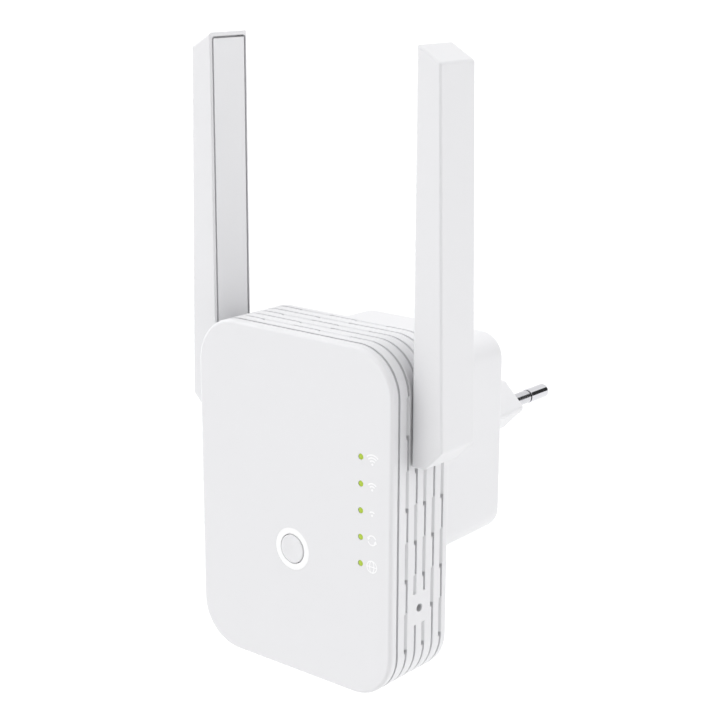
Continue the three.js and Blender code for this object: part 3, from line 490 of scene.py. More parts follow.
def loft(name, rings, closed=False):
    """A solid through rings of points, capped at both ends unless it closes on itself."""
    bm = bmesh.new()
    layers = [[bm.verts.new(point) for point in ring] for ring in rings]
    count = len(layers[0])
    pairs = list(zip(layers, layers[1:]))
    if closed:
        pairs.append((layers[-1], layers[0]))
    for one, other in pairs:
        for i in range(count):
            j = (i + 1) % count
            bm.faces.new((one[i], one[j], other[j], other[i]))
    if not closed:
        bm.faces.new(layers[0])
        bm.faces.new(layers[-1])
    return from_bmesh(name, bm)


def stack(name, levels, outline, closed=False):
    """A loft of one outline family along Y. Levels are (y, inset)."""
    return loft(name, [[(u, y, v) for u, v in outline(inset)] for y, inset in levels], closed)


def lathe(name, profile, x=0.0, y=0.0, z=0.0, axis="Y", steps=64):
    """A turned solid about an axis along Y or X. Profile points are (radius, along); a profile
    that ends where it starts closes on itself."""
    bm = bmesh.new()
    closed = profile[0] == profile[-1]
    points = profile[:-1] if closed else profile

    def place(radius, along, angle):
        u, v = radius * math.cos(angle), radius * math.sin(angle)
        return (x + u, y + along, z + v) if axis == "Y" else (x + along, y + u, z + v)

    rings = []
    for radius, along in points:
        if radius < 1e-6:
            rings.append([bm.verts.new(place(0.0, along, 0.0))])
        else:
            rings.append([bm.verts.new(place(radius, along, 2 * math.pi * k / steps))
                          for k in range(steps)])
    pairs = list(zip(rings, rings[1:]))
    if closed:
        pairs.append((rings[-1], rings[0]))
    for one, other in pairs:
        for i in range(steps):
            j = (i + 1) % steps
            if len(one) == 1:
                bm.faces.new((one[0], other[j], other[i]))
            elif len(other) == 1:
                bm.faces.new((one[i], one[j], other[0]))
            else:
                bm.faces.new((one[i], one[j], other[j], other[i]))
    return from_bmesh(name, bm)


def peg(radius, low, high, x=0.0, y=0.0, z=0.0, axis="Y", steps=64):
    """A plain round tool, to cut with or to join."""
    return lathe("peg", [(0.0, low), (radius, low), (radius, high), (0.0, high)],
                 x, y, z, axis, steps)


def hinge_peg(radius, near, far, side, steps=64):
    """A peg on one antenna's axis, from one distance out to another."""
    low, high = sorted((side * near, side * far))
    return peg(radius, low, high, 0.0, HINGE.y, HINGE.z, "X", steps)


def prism(name, outline, low, high, across="Y", bevel=0.0, segments=3):
    """An outline drawn out along an axis: outlines are (X, Z) across Y, (Y, Z) across X and
    (X, Y) across Z. Every edge may be bevelled."""
    put = {"X": lambda u, v, w: (w, u, v), "Y": lambda u, v, w: (u, w, v),
           "Z": lambda u, v, w: (u, v, w)}[across]
    made = loft(name, [[put(u, v, w) for u, v in outline] for w in (low, high)])
    if bevel > 0.0:
        bevel_edges(made, bevel, segments)
    return made


def cuboid(name, low, high, bevel=0.0, segments=2):
    (x0, y0, z0), (x1, y1, z1) = low, high
    return prism(name, [(x0, z0), (x1, z0), (x1, z1), (x0, z1)], y0, y1, "Y", bevel, segments)


def bevel_edges(piece, width, segments=3, least_angle=20.0):
    """Rounds every edge that turns by more than an angle."""
    bm = bmesh.new()
    bm.from_mesh(piece.data)
    edges = [e for e in bm.edges if e.calc_face_angle(0.0) > math.radians(least_angle)]
    bmesh.ops.bevel(bm, geom=edges, offset=width, offset_type="OFFSET", segments=segments,
                    profile=0.5, affect="EDGES", clamp_overlap=True)
    bm.to_mesh(piece.data)
    bm.free()


def apply_modifiers(piece):
    """The evaluated mesh becomes the piece's own, with no modifier left."""
    bpy.context.view_layer.update()
    graph = bpy.context.evaluated_depsgraph_get()
    mesh = bpy.data.meshes.new_from_object(piece.evaluated_get(graph))
    old = piece.data
    piece.modifiers.clear()
    piece.data = mesh
    bpy.data.meshes.remove(old)


def remove(piece):
    mesh = piece.data
    bpy.data.objects.remove(piece)
    bpy.data.meshes.remove(mesh)


def gather(pieces):
    """Several meshes as one object; the others are used up."""
    first = pieces[0]
    if len(pieces) > 1:
        bm = bmesh.new()
        for piece in pieces:
            bm.from_mesh(piece.data)
        bm.to_mesh(first.data)
        bm.free()
        for piece in pieces[1:]:
            remove(piece)
    return first


def combine(piece, tools, operation):
    """The piece joined with the tools or cut by them; the tools are used up."""
    for tool in tools:
        modifier = piece.modifiers.new("combine", "BOOLEAN")
        modifier.operation = operation
        modifier.solver = "EXACT"
        modifier.object = tool
        apply_modifiers(piece)
        if not piece.data.polygons:
            raise RuntimeError(f"{piece.name} came out empty")
        remove(tool)
    return piece


def join(piece, *tools):
    return combine(piece, tools, "UNION")


def cut(piece, *tools):
    return combine(piece, tools, "DIFFERENCE")


def polish(piece, angle=32.0):
    """Smooth shading that leaves flats flat: corners weigh their faces by area."""
    bm = bmesh.new()
    bm.from_mesh(piece.data)
    bmesh.ops.remove_doubles(bm, verts=bm.verts, dist=0.002)
    bmesh.ops.dissolve_degenerate(bm, edges=bm.edges, dist=0.001)
    bm.to_mesh(piece.data)
    bm.free()
    piece.data.shade_smooth()
    piece.data.set_sharp_from_angle(angle=math.radians(angle))
    weights = piece.modifiers.new("weights", "WEIGHTED_NORMAL")
    weights.keep_sharp = True
    weights.weight = 70
    apply_modifiers(piece)


def publish(piece, body, slot, nodes=(), finish=None, angle=32.0):
    """Finishes a piece: metres, place, finish, body, and the CAD nodes that it stands for."""
    polish(piece, angle)
    piece.data.transform(Matrix.Translation(ORIGIN) @ Matrix.Scale(MM, 4))
    piece.data.materials.clear()
    piece.data.materials.append(finish or FINISH[slot])
    piece.data.update()
    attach(piece, body)
    if nodes:
        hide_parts(*nodes)
    return piece


# ---------------------------------------------------------------- geometry node trees


class Tree:
    """Short calls for one geometry node tree with named inputs."""

    kinds = {int: "NodeSocketInt", float: "NodeSocketFloat", tuple: "NodeSocketVector",
             "object": "NodeSocketObject", "material": "NodeSocketMaterial"}

    def __init__(self, name, inputs):
        self.tree = bpy.data.node_groups.new(name, "GeometryNodeTree")
        face = self.tree.interface
        face.new_socket(name="Geometry", in_out="OUTPUT", socket_type="NodeSocketGeometry")
        face.new_socket(name="Geometry", in_out="INPUT", socket_type="NodeSocketGeometry")
        for label, value in inputs.items():
            kind = self.kinds[value if isinstance(value, str) else type(value)]
            socket = face.new_socket(name=label, in_out="INPUT", socket_type=kind)
            if not isinstance(value, str):
                socket.default_value = value
        self.inputs = self.tree.nodes.new("NodeGroupInput").outputs

    def put(self, node, socket, value):
        if isinstance(value, list):
            for one in value:
                self.tree.links.new(one, node.inputs[socket])
        elif isinstance(value, bpy.types.NodeSocket):
            self.tree.links.new(value, node.inputs[socket])
        else:
            node.inputs[socket].default_value = value

    def node(self, kind, inputs=None, output=0, **settings):
        made = self.tree.nodes.new(kind)
        for name, value in settings.items():
            setattr(made, name, value)
        for socket, value in (inputs or {}).items():
            self.put(made, socket, value)
        return made.outputs[output]

    def math(self, operation, one, other):
        return self.node("ShaderNodeMath", {0: one, 1: other}, operation=operation)

    def vector(self, x=0.0, y=0.0, z=0.0):
        return self.node("ShaderNodeCombineXYZ", {0: x, 1: y, 2: z})

    def end(self, geometry):
        realized = self.node("GeometryNodeRealizeInstances", {"Geometry": geometry})
        finished = self.node("GeometryNodeSetMaterial", {
            "Geometry": realized, "Material": self.inputs["Material"]})
        out = self.tree.nodes.new("NodeGroupOutput")
        self.tree.links.new(finished, out.inputs[0])
        return self.tree


def grow(piece, tree, values):
    """The piece's mesh run through a tree, with inputs set by identifier, then made plain."""
    modifier = piece.modifiers.new(tree.name, "NODES")
    modifier.node_group = tree
    named = {item.name: item.identifier for item in tree.interface.items_tree
             if item.item_type == "SOCKET" and item.in_out == "INPUT"}
    for label, value in values.items():
        modifier[named[label]] = value
    piece.update_tag()
    apply_modifiers(piece)
    if not piece.data.polygons:
        raise RuntimeError(f"the tree {tree.name} gave nothing for {piece.name}")
    return piece


def vent_tree():
    """Slots through four sides of a frame, staggered from one row to the next, and a louvre in
    each slot."""
    t = Tree("vent_slots", {
        "Half Width": 31.5, "Half Height": 44.3, "Middle Row": 12.85, "Rows": 5, "Pitch": 3.4625,
        "Side Columns": 7, "End Columns": 3, "Step": 9.125, "Slot": "object",
        "Louvre": "object", "Material": "material"})
    row, width, height = (t.inputs[n] for n in ("Middle Row", "Half Width", "Half Height"))
    minus = [t.math("MULTIPLY", value, -1.0) for value in (width, height)]
    turn = math.radians

    def field(columns, tool):
        across = t.math("MULTIPLY", t.inputs["Step"], t.math("SUBTRACT", columns, 1.0))
        along = t.math("MULTIPLY", t.inputs["Pitch"], t.math("SUBTRACT", t.inputs["Rows"], 1.0))
        grid = t.node("GeometryNodeMeshGrid", {
            "Size X": across, "Size Y": along, "Vertices X": columns,
            "Vertices Y": t.inputs["Rows"]})
        odd = t.math("MODULO", t.node("GeometryNodeInputIndex"), 2.0)
        points = t.node("GeometryNodeDeleteGeometry", {"Geometry": grid, "Selection": odd},
                        domain="POINT")
        placed = t.node("GeometryNodeInstanceOnPoints", {"Points": points, "Instance": tool})
        return t.node("GeometryNodeRealizeInstances", {"Geometry": placed})

    def all_round(name):
        tool = t.node("GeometryNodeObjectInfo", {"Object": t.inputs[name]}, output="Geometry")
        side, end = field(t.inputs["Side Columns"], tool), field(t.inputs["End Columns"], tool)
        placed = [
            (side, (width, row, 0.0), (0.0, turn(90), 0.0)),
            (side, (minus[0], row, 0.0), (0.0, turn(-90), 0.0)),
            (end, (0.0, row, height), (0.0, 0.0, 0.0)),
            (end, (0.0, row, minus[1]), (0.0, turn(180), 0.0)),
        ]
        tools = [t.node("GeometryNodeTransform", {
            "Geometry": geometry, "Translation": t.vector(*place), "Rotation": rotation})
            for geometry, place, rotation in placed]
        return t.node("GeometryNodeJoinGeometry", {"Geometry": tools})

    vented = t.node("GeometryNodeMeshBoolean", {
        "Mesh 1": t.inputs["Geometry"], "Mesh 2": [all_round("Slot")]},
        operation="DIFFERENCE", solver="EXACT")
    louvred = t.node("GeometryNodeMeshBoolean", {"Mesh 2": [vented, all_round("Louvre")]},
                     operation="UNION", solver="EXACT")
    return t.end(louvred)


def row_tree():
    """A row of equal pieces, added to the mesh that they stand on."""
    t = Tree("row_of_pieces", {
        "Count": 5, "Start": (0.0, 0.0, 0.0), "Step": (0.0, 0.0, 1.0), "Piece": "object",
        "Material": "material"})
    piece = t.node("GeometryNodeObjectInfo", {"Object": t.inputs["Piece"]}, output="Geometry")
    line = t.node("GeometryNodeMeshLine", {
        "Count": t.inputs["Count"], "Start Location": t.inputs["Start"],
        "Offset": t.inputs["Step"]}, mode="OFFSET")
    row = t.node("GeometryNodeInstanceOnPoints", {"Points": line, "Instance": piece})
    return t.end(t.node("GeometryNodeJoinGeometry", {"Geometry": [t.inputs["Geometry"], row]}))


def scatter_tree():
    """The same piece at every point of the mesh, such as a set of screws."""
    t = Tree("piece_at_each_point", {"Piece": "object", "Material": "material"})
    piece = t.node("GeometryNodeObjectInfo", {"Object": t.inputs["Piece"]}, output="Geometry")
    placed = t.node("GeometryNodeInstanceOnPoints", {
        "Points": t.inputs["Geometry"], "Instance": piece})
    return t.end(placed)


def row_of(name, piece, count, start, step, slot):
    """A row of copies of a piece, which is used up, as one mesh."""
    made = new_object(name, bpy.data.meshes.new(name))
    grow(made, row_tree(), {"Count": count, "Start": start, "Step": step, "Piece": piece,
                            "Material": FINISH[slot]})
    remove(piece)
    return made


def at_points(name, piece, points, slot):
    """Copies of a piece, which is used up, at given points as one mesh."""
    mesh = bpy.data.meshes.new(name)
    mesh.from_pydata(points, [], [])
    made = new_object(name, mesh)
    grow(made, scatter_tree(), {"Piece": piece, "Material": FINISH[slot]})
    remove(piece)
    return made


# ---------------------------------------------------------------- front cover


def build_front_cover(scene):
    body, face = sizes(scene, "body"), sizes(scene, "face")
    edge = 0.12
    lip_end, lip_chamfer = 4.06, 0.2
    lip_inset = body.wall + CLEARANCE
    pocket = lip_inset + body.lip
    levels = [(body.front_round * (1 - c), body.front_round * (1 - s)) for c, s in quarter(8)]
    levels += [(body.band - edge * (1 - s), edge * (1 - c)) for c, s in quarter(3)]
    levels += [(body.band, lip_inset), (lip_end - lip_chamfer, lip_inset),
               (lip_end, lip_inset + lip_chamfer), (lip_end, pocket), (body.cover, pocket)]
    cover = stack("front_shell", levels, lambda inset: body_outline(body, inset))

    # Posts for the case screws and the main board, with their pilot holes.
    root, rear_plate, board = body.cover / 2, FRAME_HIGH.y - body.plate, 7.2
    for spots, radius, end, hole_end in (
            (CASE_SCREWS, 3.0, rear_plate, 11.0), (BOARD_SCREWS, 2.4, board, 2.7)):
        for x, z in spots:
            cover = join(cover, lathe("post", [
                (0.0, root), (radius, root), (radius, end), (PILOT_RADIUS, end),
                (PILOT_RADIUS, hole_end), (0.0, hole_end)], x, 0.0, z, steps=40))

    ring = middle("button_ring")
    ring_low, ring_high = span("button_ring")
    ring_radius = (ring_high.x - ring_low.x) / 2 + HAIR
    hole, seat = BUTTON_RADIUS + face.button_gap + HAIR, ring_high.y
    through = body.cover + PAST
    cover = cut(cover, lathe("seat", [
        (0.0, -PAST), (ring_radius, -PAST), (ring_radius, seat), (hole, seat),
        (hole, through), (0.0, through)], ring.x, 0.0, ring.z, steps=96))
    window_gap = 0.03
    cover = cut(cover, gather([
        peg(face.light_radius + window_gap, -PAST, through, light.x, 0.0, light.z, steps=32)
        for light in LIGHTS]))
    publish(cover, "housing", "white_plastic", ["front_cover"])


# ---------------------------------------------------------------- vent frame


def frame_profile(body, vents):
    """The frame's section as (y, inset), once round: outside with its grooves, rear edge, the
    ledge that the rear plate seats on, and the tongue behind the seam."""
    front, rear = body.band, FRAME_HIGH.y
    shoulder = front + vents.seam_width
    lip, root = vents.lip_round, 0.1  # root: rounding at the bottom of a groove
    points = [(front, vents.seam_depth), (shoulder, vents.seam_depth)]
    points += [(shoulder + lip * (1 - s), lip * c) for c, s in reversed(quarter(3))][::-1]
    for i in range(vents.groove_count):
        back = vents.first_groove + i * vents.pitch
        fore = back - vents.groove_width
        deep = vents.groove_depth
        points += [(fore - lip * (1 - s), lip * (1 - c)) for c, s in quarter(3)]
        points += [(fore + root * (1 - c), deep - root * (1 - s)) for c, s in quarter(2)]
        points += [(back - root * (1 - s), deep - root * (1 - c)) for c, s in quarter(2)]
        points += [(back + lip * (1 - c), lip * (1 - s)) for c, s in quarter(3)]
    edge = 0.4
    points += [(rear - edge * (1 - s), edge * (1 - c)) for c, s in quarter(5)]
    plate_front = rear - body.plate
    ledge_front, ledge = plate_front - 1.65, body.wall + 1.2
    points += [(rear, body.wall), (plate_front, body.wall), (plate_front, ledge),
               (ledge_front, ledge), (ledge_front, body.wall), (front, body.wall)]
    return points


def slot_and_louvre(vents, width):
    """What one slot takes away, and the louvre in it, which slopes in from the slot's rear edge
    and stops short of one end. Their length is along X, the frame's outside at z = 0."""
    half, end = width / 2, vents.slot_length / 2
    depth, foot, tuck = 4.0, 0.4, 0.05
    slot = cuboid("slot", (-end, -half, -depth), (end, half, PAST))
    reach, fall = width - vents.slot_slit, (width - vents.slot_slit) * vents.slot_slope
    section = [(half + 2 * tuck, -0.06), (half + 2 * tuck, -fall - foot),
               (half - reach, -fall - foot), (half - reach, -fall), (half, -0.04)]
    louvre = prism("louvre", section, -end - tuck, end - vents.slot_open, "X")
    return slot, louvre


def build_vent_frame(scene):
    body, vents = sizes(scene, "body"), sizes(scene, "vents")
    made = stack("vent_shell", frame_profile(body, vents),
                 lambda inset: body_outline(body, inset), closed=True)
    hair = 0.03
    last = vents.first_groove + (vents.groove_count - 1) * vents.pitch
    row = (vents.first_groove + last - vents.slot_width - hair) / 2
    slot, louvre = slot_and_louvre(vents, vents.slot_width - hair)
    grow(made, vent_tree(), {
        "Half Width": BODY_HIGH.x, "Half Height": BODY_HIGH.z, "Middle Row": row,
        "Rows": vents.groove_count, "Pitch": vents.pitch, "Step": vents.slot_step,
        "Slot": slot, "Louvre": louvre, "Material": FINISH["white_plastic"]})
    remove(slot)
    remove(louvre)
    # A plain patch round the reset hole on the right, and a pad with the hub's hole on each side.
    reset = middle("reset_plunger")
    inner, outer = BODY_HIGH.x - body.wall, BODY_HIGH.x
    tuck, pad_radius, hub_reach = 0.05, 6.7, 2.0
    made = join(made, cuboid("patch", (inner + tuck, 8.4625, reset.z - 4.0),
                             (outer, 13.775, reset.z + 4.15)))
    for _, side in SIDES:
        made = join(made, hinge_peg(pad_radius, inner + tuck, outer, side))
        made = cut(made, hinge_peg(HUB_HOLE_RADIUS, inner - hub_reach, outer + PAST, side))
    pinhole, chamfer = 1.03, 0.15
    made = cut(made, lathe("pinhole", [
        (0.0, inner - PAST), (pinhole, inner - PAST), (pinhole, outer - chamfer),
        (pinhole + chamfer, outer), (pinhole + chamfer, outer + PAST), (0.0, outer + PAST)],
        0.0, reset.y, reset.z, "X", steps=40))
    low, high = span("lan_jack")
    gap, rear_gap, reach, corner = CLEARANCE, 0.25, 4.2, 0.4
    opening = rounded_polygon(
        [(low.x - gap, low.y - gap), (high.x + gap, low.y - gap),
         (high.x + gap, high.y + rear_gap), (low.x - gap, high.y + rear_gap)], corner, 4)
    made = cut(made, prism("opening", opening, -BODY_HIGH.z - PAST, -BODY_HIGH.z + reach, "Z"))
    publish(made, "housing", "white_plastic", ["vent_frame"], angle=28.0)


# ---------------------------------------------------------------- rear cover


def rear_shell(body, plug):
    """The rear plate, the block and the plug's neck, joined as one solid."""
    rear, fillet = FRAME_HIGH.y, body.root_fillet
    plate_front = rear - body.plate
    inset = body.wall + CLEARANCE
    plate = stack("rear_shell", [
        (plate_front, inset), (rear - 0.15, inset), (rear - 0.04, inset + 0.04),
        (rear, inset + 0.15)], lambda d: body_outline(body, d))

    def draft(y):
        return -body.block_draft * (BLOCK.rear - y) / (BLOCK.rear - rear)

    levels = [(plate_front, draft(plate_front) - fillet), (rear - 0.05, draft(rear) - fillet)]
    levels += [(rear + fillet * (1 - c), draft(rear) - fillet * (1 - s)) for c, s in quarter(6)]
    edge = body.block_round
    levels += [(BLOCK.rear - edge * (1 - s), edge * (1 - c)) for c, s in quarter(8)]
    block = stack("block", levels, lambda d: block_outline(body, d))

    root, rim = BLOCK.rear, plug.face_round

    def taper(y):
        return plug.flare * (PLUG_FACE - rim - y) / (PLUG_FACE - rim - root)

    levels = [(root - PAST, taper(root) + fillet), (root - 0.02, taper(root) + fillet)]
    levels += [(root + fillet * (1 - c), taper(root + fillet * (1 - c)) + fillet * (1 - s))
               for c, s in quarter(6)]
    levels += [(PLUG_FACE - rim * (1 - s), -rim * (1 - c)) for c, s in quarter(7)]
    return join(plate, block, stack("neck", levels, lambda g: neck_outline(plug, g)))


def block_posts(body, supply_rear):
    """Posts in the block's corners, which the supply board rests on, cut to the block's wall."""
    inset, post_size = body.block_wall - 0.4, 6.0
    reach_x, reach_z = BLOCK.half_width - inset, BLOCK.half_height - inset
    posts = []
    for side in (-1, 1):
        for end in (-1, 1):
            x0, x1 = sorted((side * reach_x, side * (reach_x - post_size)))
            z0, z1 = sorted((BLOCK.rise + end * reach_z, BLOCK.rise + end * (reach_z - post_size)))
            post = cuboid("post", (x0, supply_rear, z0), (x1, BLOCK.rear - 1.0, z1))
            limit = stack("limit", [(FRAME_HIGH.y - 5.0, inset), (BLOCK.rear, inset)],
                          lambda d: block_outline(body, d))
            posts.append(combine(post, [limit], "INTERSECT"))
    return posts


def snap_hook(x, top, plate_front):
    half, front, nib_rear, hair = 2.0, 17.6, 18.6, 0.05
    return join(
        cuboid("hook", (x - half, front, top - 1.2), (x + half, plate_front + 0.5, top)),
        cuboid("nib", (x - half + hair, front, top - 1.1), (x + half - hair, nib_rear, top + 0.9)))


def build_rear_cover(scene):
    body, plug = sizes(scene, "body"), sizes(scene, "plug")
    rear = FRAME_HIGH.y
    plate_front, block_floor = rear - body.plate, BLOCK.rear - body.block_wall
    made = rear_shell(body, plug)
    made = cut(made, stack("room", [(plate_front - PAST, body.block_wall),
                                    (block_floor, body.block_wall)],
                           lambda d: block_outline(body, d, 8)))
    made = cut(made, stack("neck_room", [(block_floor - PAST, plug.flare - plug.wall),
                                         (PLUG_FACE - plug.wall, -plug.wall)],
                           lambda g: neck_outline(plug, g)))
    supply_rear = span("supply_board")[1].y
    posts = block_posts(body, supply_rear)
    boss_radius, boss_front, boss_rear = 3.75, PIN_LOW.y + 2.0, PLUG_FACE - 1.1
    hook_x, hook_top = 16.5, BODY_HIGH.z - body.wall - 1.2 - CLEARANCE
    for _, side in SIDES:
        made = join(made, peg(boss_radius, boss_front, boss_rear, side * PIN_X, 0.0, PLUG_RISE,
                              steps=48))
        made = join(made, snap_hook(side * hook_x, hook_top, plate_front))
    made = join(made, *posts)
    hole, chamfer = 2.03, 0.12
    for _, side in SIDES:
        made = cut(made, lathe("pin_hole", [
            (0.0, PIN_LOW.y + 1.0), (hole, PIN_LOW.y + 1.0), (hole, PLUG_FACE - chamfer),
            (hole + chamfer, PLUG_FACE), (hole + chamfer, PLUG_FACE + PAST),
            (0.0, PLUG_FACE + PAST)], side * PIN_X, 0.0, PLUG_RISE, steps=64))
    well, well_floor, chamfer = 2.7, rear - 1.0, 0.15
    for x, z in CASE_SCREWS:
        made = cut(made, lathe("well", [
            (0.0, plate_front - PAST), (PILOT_RADIUS, plate_front - PAST),
            (PILOT_RADIUS, well_floor), (well, well_floor), (well, rear - chamfer),
            (well + chamfer, rear), (well + chamfer, rear + PAST), (0.0, rear + PAST)],
            x, 0.0, z, steps=48))
    for x, z in SUPPLY_SCREWS:
        made = cut(made, peg(PILOT_RADIUS, supply_rear - PAST, supply_rear + 9.0, x, 0.0, z,
                             steps=24))
    publish(made, "housing", "white_plastic", ["rear_cover"])


# ---------------------------------------------------------------- plug pins


def build_pins(scene):
    plug = sizes(scene, "plug")
    foot, tip = PIN_LOW.y, PIN_HIGH.y
    radius = (PIN_HIGH.x - PIN_LOW.x) / 2
    bare, well = PLUG_FACE + plug.sleeve_length, PLUG_FACE - 2.2
    core, chamfer, bore = 1.1, 0.2, 1.4
    pin = [(0.0, foot), (radius - chamfer, foot), (radius, foot + chamfer), (radius, well),
           (core, well), (core, bare), (radius - 0.16, bare), (radius - 0.04, bare + 0.05),
           (radius, bare + 0.18)]
    pin += [(radius - plug.tip_round * (1 - c), tip - plug.tip_round * (1 - s))
            for c, s in quarter(10)]
    pin.append((0.0, tip))
    outer, end = plug.sleeve_radius, bare - 0.28
    sleeve = [(bore, well), (outer, well), (outer, end - chamfer), (outer - 0.06, end - 0.06),
              (outer - chamfer, end), (bore, end), (bore, well)]
    for name, side in SIDES:
        place = (side * PIN_X, 0.0, PLUG_RISE)
        publish(lathe(f"plug_pin_{name}", pin, *place, steps=72),
                "housing", "nickel", [f"pin_{name}"])
        publish(lathe(f"plug_sleeve_{name}", sleeve, *place, steps=72),
                "housing", "nickel", [f"pin_sleeve_{name}"], FINISH["sleeve_grey"])


# ---------------------------------------------------------------- lights and symbols


def build_lights(scene):
    face = sizes(scene, "face")
    low, high = span("light_pipe")
    radius, top, dome = face.light_radius, 0.02, 0.16
    profile = [(0.0, top)]
    profile += [(radius * math.sin(math.radians(a)), top + dome * (1 - math.cos(math.radians(a))))
                for a in (20, 40, 60, 80)]
    profile += [(radius, top + dome + 0.03), (radius, high.y), (0.0, high.y)]
    rod = lathe("light_rod", profile, steps=40)
    step = (LIGHTS[-1] - LIGHTS[0]) / (len(LIGHTS) - 1)
    rods = row_of("rods", rod, len(LIGHTS), (LIGHTS[0].x, 0.0, LIGHTS[0].z),
                  (step.x, 0.0, step.z), "light_green")
    strip_front, strip_rear, edge = 1.65, 3.2, 0.25
    strip = cuboid("light_strip", (low.x, strip_front, low.z), (high.x, strip_rear, high.z), edge)
    publish(join(strip, rods), "housing", "light_green", ["light_pipe"])


PRINT_TOP, PRINT_FOOT = -0.03, 0.0


def stroke(name, points, width, closed=False):
    """A line of even width as a thin raised print on the front face."""
    half = width / 2
    count = len(points)
    sides = [[], []]
    for i, point in enumerate(points):
        here = Vector(point)
        before = Vector(points[i - 1]) if i or closed else here
        after = Vector(points[(i + 1) % count]) if i + 1 < count or closed else here
        along = (after - before).normalized()
        across = Vector((-along.y, along.x)) * half
        sides[0].append(tuple(here + across))
        sides[1].append(tuple(here - across))
    if closed:
        rings = [[(u, w, v) for u, v in sides[k]] for k, w in
                 ((0, PRINT_TOP), (1, PRINT_TOP), (1, PRINT_FOOT), (0, PRINT_FOOT))]
        return loft(name, rings, closed=True)
    return prism(name, sides[0] + sides[1][::-1], PRINT_TOP, PRINT_FOOT)


def arc(u, v, radius, start, end, steps=14, squeeze=1.0):
    return [(u + squeeze * radius * math.cos(math.radians(start + (end - start) * k / steps)),
             v + radius * math.sin(math.radians(start + (end - start) * k / steps)))
            for k in range(steps + 1)]


def build_symbols(scene):
    face = sizes(scene, "face")
    width, x = face.stroke, LIGHTS[0].x + face.symbol_side
    made = []
    # Signal arcs over a dot: three, two and one.
    dot_radius, first_arc, arc_step = 0.3, 1.0, 0.72
    for light, arcs in zip(LIGHTS, (3, 2, 1)):
        foot = light.z - 0.25 - arc_step / 2 * arcs
        dot = arc(x, foot + 0.1, dot_radius, 0, 360, 16)[:-1]
        made.append(prism("light_symbols", dot, PRINT_TOP, PRINT_FOOT))
        for k in range(arcs):
            made.append(stroke("arc", arc(x, foot, first_arc + arc_step * k, 45, 135), width))
    # A loop of two turning arrows.
    z, radius, sweep, head_half, head_length = LIGHTS[3].z - 0.1, 1.2, 130, 0.5, 0.75
    for start in (20, 200):
        made.append(stroke("turn", arc(x, z, radius, start, start + sweep), width))
        foot, tip = (Vector(p) for p in arc(x, z, radius, start + sweep, start + sweep + 45, 1))
        along = (tip - foot).normalized()
        across = Vector((-along.y, along.x)) * head_half
        foot_line = foot + along * 0.01
        head = [foot_line + across, foot_line - across, foot + along * head_length]
        made.append(prism("head", [tuple(p) for p in head], PRINT_TOP, PRINT_FOOT))
    # A globe of rings and bars.
    z, radius, thin = LIGHTS[4].z - 0.1, 1.5, width * 0.75
    finer, squeeze = thin * 0.9, 0.45
    made.append(join(
        stroke("globe", arc(x, z, radius, 0, 360, 32)[:-1], thin, closed=True),
        stroke("meridian", arc(x, z, radius, 0, 360, 32, squeeze)[:-1], finer, closed=True),
        stroke("equator", [(x - 1.45, z), (x + 1.45, z)], finer)))
    publish(gather(made), "housing", "bright_plastic")


# ---------------------------------------------------------------- pairing button


def build_button(scene):
    body, face = sizes(scene, "body"), sizes(scene, "face")
    low, high = span("wps_button")
    ring_low, ring_high = span("button_ring")
    centre = middle("button_ring")
    radius, front, dish = BUTTON_RADIUS, low.y, face.button_dish
    rim_width, rim_drop, stem, flange_thickness = 0.35, 0.3, 1.75, 0.6
    rim, flange = radius - rim_width, (high.x - low.x) / 2
    seat = body.cover + CLEARANCE
    profile = [(0.0, front + dish)]
    profile += [(rim * k / 6, front + dish * (1 - (k / 6) ** 2)) for k in range(1, 7)]
    profile += [(rim + (radius - rim) * s, front + rim_drop * (1 - c)) for c, s in quarter(5)[1:]]
    profile += [(radius, seat), (flange, seat), (flange, seat + flange_thickness),
                (stem, seat + flange_thickness), (stem, high.y), (0.0, high.y)]
    publish(lathe("pairing_button", profile, centre.x, 0.0, centre.z, steps=96),
            "wps_button_body", "white_plastic", ["wps_button"])
    bore, outer = radius + face.button_gap, (ring_high.x - ring_low.x) / 2
    foot = ring_high.y
    ring = [(bore, 0.06), (bore + 0.06, 0.0), (outer - 0.04, 0.0), (outer, 0.03), (outer, foot),
            (bore, foot), (bore, 0.06)]
    publish(lathe("button_trim_ring", ring, centre.x, 0.0, centre.z, steps=96),
            "housing", "bright_plastic", ["button_ring"])


# ---------------------------------------------------------------- antennas


def antenna_outline(shell, side, low, high, inset):
    """The blade seen from the front: a bevelled foot, a taper and a mitred top."""
    inner = min(abs(low.x), abs(high.x))
    thick = max(abs(low.x), abs(high.x)) - inner
    bevel, slant = thick - shell.foot_flat, inset * 0.41
    corners = [
        (0.0, low.z + inset), (shell.foot_flat - slant, low.z + inset),
        (thick - inset, low.z + bevel + slant),
        (shell.tip - inset, high.z - shell.mitre - inset * 1.4), (0.0, high.z - inset)]
    return [(side * (inner + x), z) for x, z in corners]


def panel_outline(shell, low, high, grow, corner=None):
    return rounded_polygon(
        [(low.y - grow, low.z - grow), (high.y + grow, low.z - grow),
         (high.y + grow, high.z + grow), (low.y - grow, high.z + grow)],
        shell.panel_round + grow if corner is None else corner, 5 if corner is None else 3)


